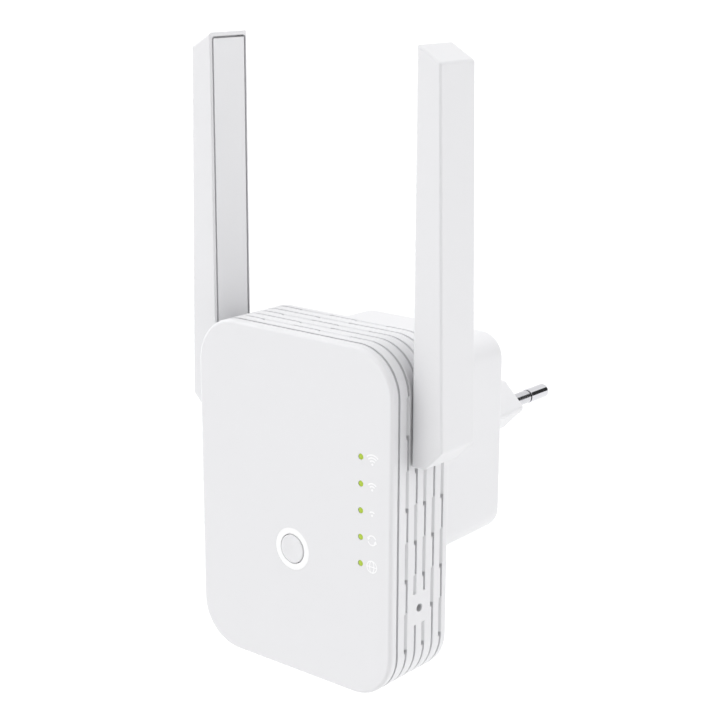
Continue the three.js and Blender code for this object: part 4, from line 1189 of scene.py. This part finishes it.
def build_antennas(scene):
    shell = sizes(scene, "antennas")
    hub_room, hub_depth, room_margin, room_corner = 5.5, 1.7, 1.2, 0.4
    bore, shaft, ring_groove, chamfer = 2.2, 4.0, 3.2, 0.2
    for name, side in SIDES:
        low, high = span(f"antenna_{name}_shell")
        panel = span(f"antenna_{name}_panel")
        inner = min(abs(low.x), abs(high.x))
        thick = max(abs(low.x), abs(high.x)) - inner
        seat = inner + shell.panel

        def slab(kind, outline, near, far, *bevel):
            first, last = sorted((side * near, side * far))
            return prism(kind, outline, first, last, "X", *bevel)

        made = prism(f"antenna_{name}_blade", antenna_outline(shell, side, low, high, 0.0),
                     low.y, high.y, "Y", shell.edge, 5)
        made = cut(made, slab("pocket", panel_outline(shell, *panel, shell.panel_gap),
                              inner - PAST, seat))
        room = prism("room", antenna_outline(shell, side, low, high, shell.wall),
                     low.y + shell.wall, high.y - shell.wall)
        limit = slab("limit", panel_outline(shell, *panel, -room_margin, room_corner),
                     inner - PAST, inner + thick)
        made = cut(made, combine(room, [limit], "INTERSECT"))
        made = cut(made, hinge_peg(hub_room, seat - 0.5, seat + hub_depth, side, 48))
        publish(made, f"antenna_{name}", "white_plastic", [f"antenna_{name}_shell"])

        inlay = slab(f"antenna_{name}_inlay", panel_outline(shell, *panel, 0.0), inner, seat,
                     0.15, 2)
        inlay = cut(inlay, hinge_peg(HUB_HOLE_RADIUS, inner - PAST, seat + PAST, side))
        publish(inlay, f"antenna_{name}", "white_plastic", [f"antenna_{name}_panel"])

        hub_low, hub_high = span(f"antenna_{name}_hub")
        foot, end = sorted((abs(hub_low.x), abs(hub_high.x)))
        flange = (hub_high.z - hub_low.z) / 2
        profile = [
            (bore, foot), (shaft - chamfer, foot), (shaft, foot + chamfer), (shaft, foot + 1.0),
            (ring_groove, foot + 1.0), (ring_groove, foot + 2.0), (shaft, foot + 2.0),
            (shaft, seat), (flange, seat), (flange, end), (bore, end), (bore, foot)]
        profile = [(r, side * along) for r, along in profile]
        publish(lathe(f"antenna_{name}_spigot", profile, 0.0, HINGE.y, HINGE.z, "X"),
                f"antenna_{name}", "white_plastic", [f"antenna_{name}_hub"])


# ---------------------------------------------------------------- network socket


def build_socket(scene):
    low, high = span("lan_jack")
    mid_y, foot = (low.y + high.y) / 2, low.z
    port_front, port_rear = mid_y - 3.7, mid_y + 3.7
    made = cuboid("network_socket", low, high, 0.35, 3)
    # The port and its two steps for the latch: half width, front, rear and top of each.
    for half, front, rear, top in (
            (5.9, port_front, port_rear, 12.5), (3.1, port_rear - 0.5, port_rear + 0.8, 12.4),
            (2.2, port_rear + 0.3, port_rear + 1.6, 12.45)):
        made = cut(made, cuboid("port", (-half, front, foot - PAST), (half, rear, foot + top)))
    publish(made, "housing", "dark_plastic", ["lan_jack"])
    # Eight sprung contacts on the side away from the latch.
    path = [(port_front + y, foot + z) for y, z in (
        (0.05, 3.2), (0.35, 2.6), (0.75, 2.9), (2.6, 10.8), (2.6, 12.3))]
    half, half_thickness, pitch, count, rings = 0.22, 0.13, 1.02, 8, []
    for i, (y, z) in enumerate(path):
        before, after = path[max(i - 1, 0)], path[min(i + 1, len(path) - 1)]
        along = Vector((after[0] - before[0], after[1] - before[1])).normalized()
        across = Vector((-along.y, along.x)) * half_thickness
        rings.append([(-half, y + across.x, z + across.y), (half, y + across.x, z + across.y),
                      (half, y - across.x, z - across.y), (-half, y - across.x, z - across.y)])
    contacts = row_of("network_contacts", loft("contact", rings), count,
                      (-pitch * (count - 1) / 2, 0.0, 0.0), (pitch, 0.0, 0.0), "brass")
    publish(contacts, "housing", "brass")


# ---------------------------------------------------------------- screws and heat sink


def screw(name, reach, shank=1.1, head=2.4, height=1.0):
    """A pan-head screw along Y, head at the rear, its seat at y = 0, with a cross recess."""
    pitch, core = 0.7, shank * 0.82
    thread = []
    turns = int(reach / pitch)
    for k in range(turns):
        y = -reach + 0.6 + (reach - 0.8) * k / turns
        thread += [(core, y), (shank, y + 0.22), (shank, y + 0.28), (core, y + 0.5)]
    rim = 0.35
    profile = [(0.0, -reach), (shank * 0.5, -reach + 0.25)] + thread
    profile += [(shank * 0.9, -0.05), (shank * 0.9, 0.0), (head, 0.0), (head, height * rim)]
    profile += [(head * (0.55 + 0.45 * c), height * (rim + (1 - rim) * s))
                for c, s in quarter(6)[1:]]
    profile.append((0.0, height))
    made = lathe(name, profile, steps=40)
    recess_floor, long, short = height * 0.42, 1.35, 0.32
    for u, v in ((long, short), (short, long)):
        made = cut(made, cuboid("recess", (-u, recess_floor, -v), (u, height + PAST, v)))
    return made


def build_screws(scene):
    board_rear, supply_front = span("main_board")[1].y, span("supply_board")[0].y
    sets = (
        ("case_screw", 8.5, FRAME_HIGH.y - 1.0, CASE_SCREWS, ("left", "right")),
        ("board_screw", 5.1, board_rear, BOARD_SCREWS, (1, 2)),
        ("supply_screw", 9.1, supply_front, SUPPLY_SCREWS, (1, 2)),
    )
    for name, reach, seat, spots, ends in sets:
        piece = screw(name, reach)
        if name == "supply_screw":
            piece.data.transform(Matrix.Rotation(math.pi, 4, "Z"))
        made = at_points(f"{name}s", piece, [(x, seat, z) for x, z in spots], "steel")
        publish(made, "housing", "steel", [f"{name}_{end}" for end in ends])


def build_heat_sink(scene):
    low, high = span("heat_sink")
    count, thickness, floor, hair = 8, 1.0, 1.8, 0.01
    base = cuboid("heat_sink_base", low, (high.x, low.y + floor, high.z), 0.15)
    fin = prism("fin", rounded_polygon(
        [(0.0, low.y + 1.0), (thickness, low.y + 1.0), (thickness - 0.1, high.y),
         (0.1, high.y)], 0.2, 3), low.z + hair, high.z - hair, "Z")
    step = (high.x - low.x - thickness) / (count - 1)
    fins = row_of("fins", fin, count, (low.x, 0.0, 0.0), (step, 0.0, 0.0), "aluminium")
    publish(join(base, fins), "housing", "aluminium", ["heat_sink"])


# ---------------------------------------------------------------- pieces kept from the CAD

KEPT = {
    "dark_plastic": ["wps_plunger", "reset_switch", "processor", "bridge_rectifier"],
    "grey_plastic": ["reset_plunger", "antenna_left_coax", "antenna_right_coax",
                     "board_coax_left", "board_coax_right"],
    "bright_plastic": ["dc_header"],
    "light_green": [f"led_{i}" for i in range(1, 6)],
    "board_green": ["main_board", "antenna_left_element", "antenna_right_element"],
    "board_tan": ["supply_board"],
    "steel": ["wps_switch", "rf_shield", "antenna_left_washer", "antenna_right_washer",
              "antenna_left_clip", "antenna_right_clip"],
    "brass": ["pin_contact_left", "pin_contact_right", "coax_plug_left", "coax_plug_right"],
    "ferrite": ["transformer_core"],
    "yellow_tape": ["transformer_winding"],
    "capacitor_sleeve": ["bulk_capacitor", "output_capacitor"],
    "fuse_brown": ["mains_fuse"],
    "red_lead": ["dc_lead_positive"],
    "black_lead": ["dc_lead_negative"],
}


def finish_kept_nodes(scene):
    for slot, nodes in KEPT.items():
        for node in nodes:
            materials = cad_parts[node].data.materials
            materials.clear()
            materials.append(FINISH[slot])


# ---------------------------------------------------------------- stage


def area_light(name, place, target, size, power):
    data = bpy.data.lights.new(name, "AREA")
    data.shape = "DISK"
    data.size = size
    data.energy = power
    made = bpy.data.objects.new(name, data)
    bpy.context.scene.collection.objects.link(made)
    made.location = place
    made.rotation_mode = "QUATERNION"
    made.rotation_quaternion = (Vector(target) - Vector(place)).to_track_quat("-Z", "Y")


# Parts of the sky that are dimmed: direction, outer and inner angle, brightness left there, and
# whether only reflections see it. They are the studio's dark front, its ceiling and its back, and
# a dark flag that gives the pins their streak.
DIMMED = (
    ((0.6146, -0.7460, 0.2566), 50, 30, 0.0, False),
    ((0.0, 0.35, 0.94), 40, 15, 0.6, False),
    ((-0.55, 0.83, 0.1), 88, 40, 0.55, False),
    ((0.61, 0.75, 0.257), 26, 20, 0.02, True),
)
SKY_STRENGTH = 1.93
LIGHT_TARGET = (0.0, -0.045, 0.02)
FLOOR_REACH, FLOOR_DROP = 60.0, 0.35
CAMERA_PLACE = (0.254836, -0.362479, 0.128294)
CAMERA_TURN, CAMERA_TILT, CAMERA_ROLL = 39.487, 14.872, 0.229
CAMERA_LENS, CAMERA_SENSOR = 81.2956, 36.0


def build_floor():
    mesh = bpy.data.meshes.new("floor")
    reach, drop = FLOOR_REACH, CAD_BOUNDS[0].z - FLOOR_DROP
    mesh.from_pydata([(-reach, -reach, drop), (reach, -reach, drop), (reach, reach, drop),
                      (-reach, reach, drop)], [], [(0, 1, 2, 3)])
    floor = new_object("floor", mesh)
    s = Shader("pale_floor")
    s.put(s.surface, "Base Color",
          s.mix(s.noise(4.0), (0.93, 0.93, 0.93, 1), (0.95, 0.95, 0.95, 1)))
    s.surface.inputs["Roughness"].default_value = 0.9
    s.surface.inputs["Specular IOR Level"].default_value = 0.0
    mesh.materials.append(s.material)


def build_sky(scene):
    """A white sky, dimmed in some directions for the light that falls on the object."""
    world = bpy.data.worlds.new("studio")
    scene.world = world
    world.use_nodes = True
    nodes, links = world.node_tree.nodes, world.node_tree.links
    sky = nodes["Background"]
    sky.inputs["Strength"].default_value = SKY_STRENGTH
    direction = nodes.new("ShaderNodeTexCoord").outputs["Generated"]
    path = nodes.new("ShaderNodeLightPath")
    lighting = nodes.new("ShaderNodeMath")
    lighting.operation = "SUBTRACT"
    lighting.inputs[0].default_value = 1.0
    links.new(path.outputs["Is Camera Ray"], lighting.inputs[1])
    tone = None
    for towards, outer, inner, left, reflected in DIMMED:
        near = nodes.new("ShaderNodeVectorMath")
        near.operation = "DOT_PRODUCT"
        near.inputs[1].default_value = Vector(towards).normalized()
        links.new(direction, near.inputs[0])
        soft = nodes.new("ShaderNodeMapRange")
        soft.interpolation_type = "SMOOTHSTEP"
        soft.inputs["From Min"].default_value = math.cos(math.radians(outer))
        soft.inputs["From Max"].default_value = math.cos(math.radians(inner))
        links.new(near.outputs["Value"], soft.inputs["Value"])
        share = nodes.new("ShaderNodeMath")
        share.operation = "MULTIPLY"
        links.new(soft.outputs["Result"], share.inputs[0])
        rays = path.outputs["Is Glossy Ray"] if reflected else lighting.outputs[0]
        links.new(rays, share.inputs[1])
        mix = nodes.new("ShaderNodeMix")
        mix.data_type = "RGBA"
        mix.inputs[6].default_value = (1.0, 1.0, 1.0, 1.0)
        mix.inputs[7].default_value = (left, left, left, 1.0)
        if tone is not None:
            links.new(tone, mix.inputs[6])
        links.new(share.outputs[0], mix.inputs[0])
        tone = mix.outputs[2]
    links.new(tone, sky.inputs["Color"])


def build_camera(scene):
    data = bpy.data.cameras.new("camera")
    data.sensor_width, data.lens = CAMERA_SENSOR, CAMERA_LENS
    data.clip_start, data.clip_end = 0.01, 200.0
    camera = bpy.data.objects.new("camera", data)
    scene.collection.objects.link(camera)
    turn, tilt, roll = (math.radians(a) for a in (CAMERA_TURN, CAMERA_TILT, CAMERA_ROLL))
    back = Vector((math.sin(turn) * math.cos(tilt), -math.cos(turn) * math.cos(tilt),
                   math.sin(tilt)))
    right = Vector((math.cos(turn), math.sin(turn), 0.0))
    up = back.cross(right)
    right, up = (math.cos(roll) * right + math.sin(roll) * up,
                 math.cos(roll) * up - math.sin(roll) * right)
    pose = Matrix((right, up, back)).transposed().to_4x4()
    pose.translation = CAMERA_PLACE
    camera.matrix_world = pose
    scene.camera = camera


def build_stage(scene):
    build_floor()
    build_sky(scene)
    area_light("key", (-0.55, -0.75, 0.95), LIGHT_TARGET, 0.8, 1.6)
    area_light("top", (0.1, 0.1, 1.2), LIGHT_TARGET, 0.9, 0.4)
    scene.view_settings.view_transform = "Standard"
    build_camera(scene)


# ---------------------------------------------------------------- operators and panel


class EXTENDER_OT_finishes(bpy.types.Operator):
    """Make the finishes of every piece"""

    bl_idname = "extender.finishes"
    bl_label = "Finishes"

    def execute(self, context):
        make_finishes(context.scene)
        return {"FINISHED"}


class EXTENDER_OT_front_cover(bpy.types.Operator):
    """Build the front cover"""

    bl_idname = "extender.front_cover"
    bl_label = "Front cover"

    def execute(self, context):
        build_front_cover(context.scene)
        return {"FINISHED"}


class EXTENDER_OT_vent_frame(bpy.types.Operator):
    """Build the grooved and slotted side frame"""

    bl_idname = "extender.vent_frame"
    bl_label = "Vent frame"

    def execute(self, context):
        build_vent_frame(context.scene)
        return {"FINISHED"}


class EXTENDER_OT_rear_cover(bpy.types.Operator):
    """Build the rear cover with its block and neck"""

    bl_idname = "extender.rear_cover"
    bl_label = "Rear cover"

    def execute(self, context):
        build_rear_cover(context.scene)
        return {"FINISHED"}


class EXTENDER_OT_pins(bpy.types.Operator):
    """Build the plug's pins and sleeves"""

    bl_idname = "extender.pins"
    bl_label = "Pins"

    def execute(self, context):
        build_pins(context.scene)
        return {"FINISHED"}


class EXTENDER_OT_lights(bpy.types.Operator):
    """Build the row of status lights"""

    bl_idname = "extender.lights"
    bl_label = "Lights"

    def execute(self, context):
        build_lights(context.scene)
        return {"FINISHED"}


class EXTENDER_OT_symbols(bpy.types.Operator):
    """Build the symbols beside the lights"""

    bl_idname = "extender.symbols"
    bl_label = "Symbols"

    def execute(self, context):
        build_symbols(context.scene)
        return {"FINISHED"}


class EXTENDER_OT_button(bpy.types.Operator):
    """Build the pairing button and its ring"""

    bl_idname = "extender.button"
    bl_label = "Button"

    def execute(self, context):
        build_button(context.scene)
        return {"FINISHED"}


class EXTENDER_OT_antennas(bpy.types.Operator):
    """Build both antennas"""

    bl_idname = "extender.antennas"
    bl_label = "Antennas"

    def execute(self, context):
        build_antennas(context.scene)
        return {"FINISHED"}


class EXTENDER_OT_socket(bpy.types.Operator):
    """Build the network socket and its contacts"""

    bl_idname = "extender.socket"
    bl_label = "Network socket"

    def execute(self, context):
        build_socket(context.scene)
        return {"FINISHED"}


class EXTENDER_OT_screws(bpy.types.Operator):
    """Build the screws of the case and both boards"""

    bl_idname = "extender.screws"
    bl_label = "Screws"

    def execute(self, context):
        build_screws(context.scene)
        return {"FINISHED"}


class EXTENDER_OT_heat_sink(bpy.types.Operator):
    """Build the heat sink"""

    bl_idname = "extender.heat_sink"
    bl_label = "Heat sink"

    def execute(self, context):
        build_heat_sink(context.scene)
        return {"FINISHED"}


class EXTENDER_OT_inner_parts(bpy.types.Operator):
    """Finish the pieces kept from the CAD"""

    bl_idname = "extender.inner_parts"
    bl_label = "Inner parts"

    def execute(self, context):
        finish_kept_nodes(context.scene)
        return {"FINISHED"}


class EXTENDER_OT_stage(bpy.types.Operator):
    """Build the floor, lights and camera"""

    bl_idname = "extender.stage"
    bl_label = "Stage"

    def execute(self, context):
        build_stage(context.scene)
        return {"FINISHED"}


OPERATORS = [
    EXTENDER_OT_finishes,
    EXTENDER_OT_front_cover,
    EXTENDER_OT_vent_frame,
    EXTENDER_OT_rear_cover,
    EXTENDER_OT_pins,
    EXTENDER_OT_lights,
    EXTENDER_OT_symbols,
    EXTENDER_OT_button,
    EXTENDER_OT_antennas,
    EXTENDER_OT_socket,
    EXTENDER_OT_screws,
    EXTENDER_OT_heat_sink,
    EXTENDER_OT_inner_parts,
    EXTENDER_OT_stage,
]


class EXTENDER_PT_panel(bpy.types.Panel):
    """Sizes, colours and operators of the range extender."""

    bl_idname = "EXTENDER_PT_panel"
    bl_label = "Wifi range extender"
    bl_space_type = "VIEW_3D"
    bl_region_type = "UI"
    bl_category = "Extender"

    def draw(self, context):
        for kind in OPERATORS:
            self.layout.operator(kind.bl_idname)
        for group, kind in GROUPS.items():
            box = self.layout.box()
            box.label(text=kind.__doc__)
            for name in kind.__annotations__:
                box.prop(getattr(context.scene, group), name)


CLASSES = [*GROUPS.values(), *OPERATORS, EXTENDER_PT_panel]


def register():
    for kind in CLASSES:
        bpy.utils.register_class(kind)
    for name, kind in GROUPS.items():
        setattr(bpy.types.Scene, name, PointerProperty(type=kind))


def unregister():
    for name in GROUPS:
        delattr(bpy.types.Scene, name)
    for kind in reversed(CLASSES):
        bpy.utils.unregister_class(kind)


def main():
    register()
    for kind in OPERATORS:
        name = kind.bl_idname.split(".")[1]
        getattr(bpy.ops.extender, name)()


if __name__ == "__main__":
    main()
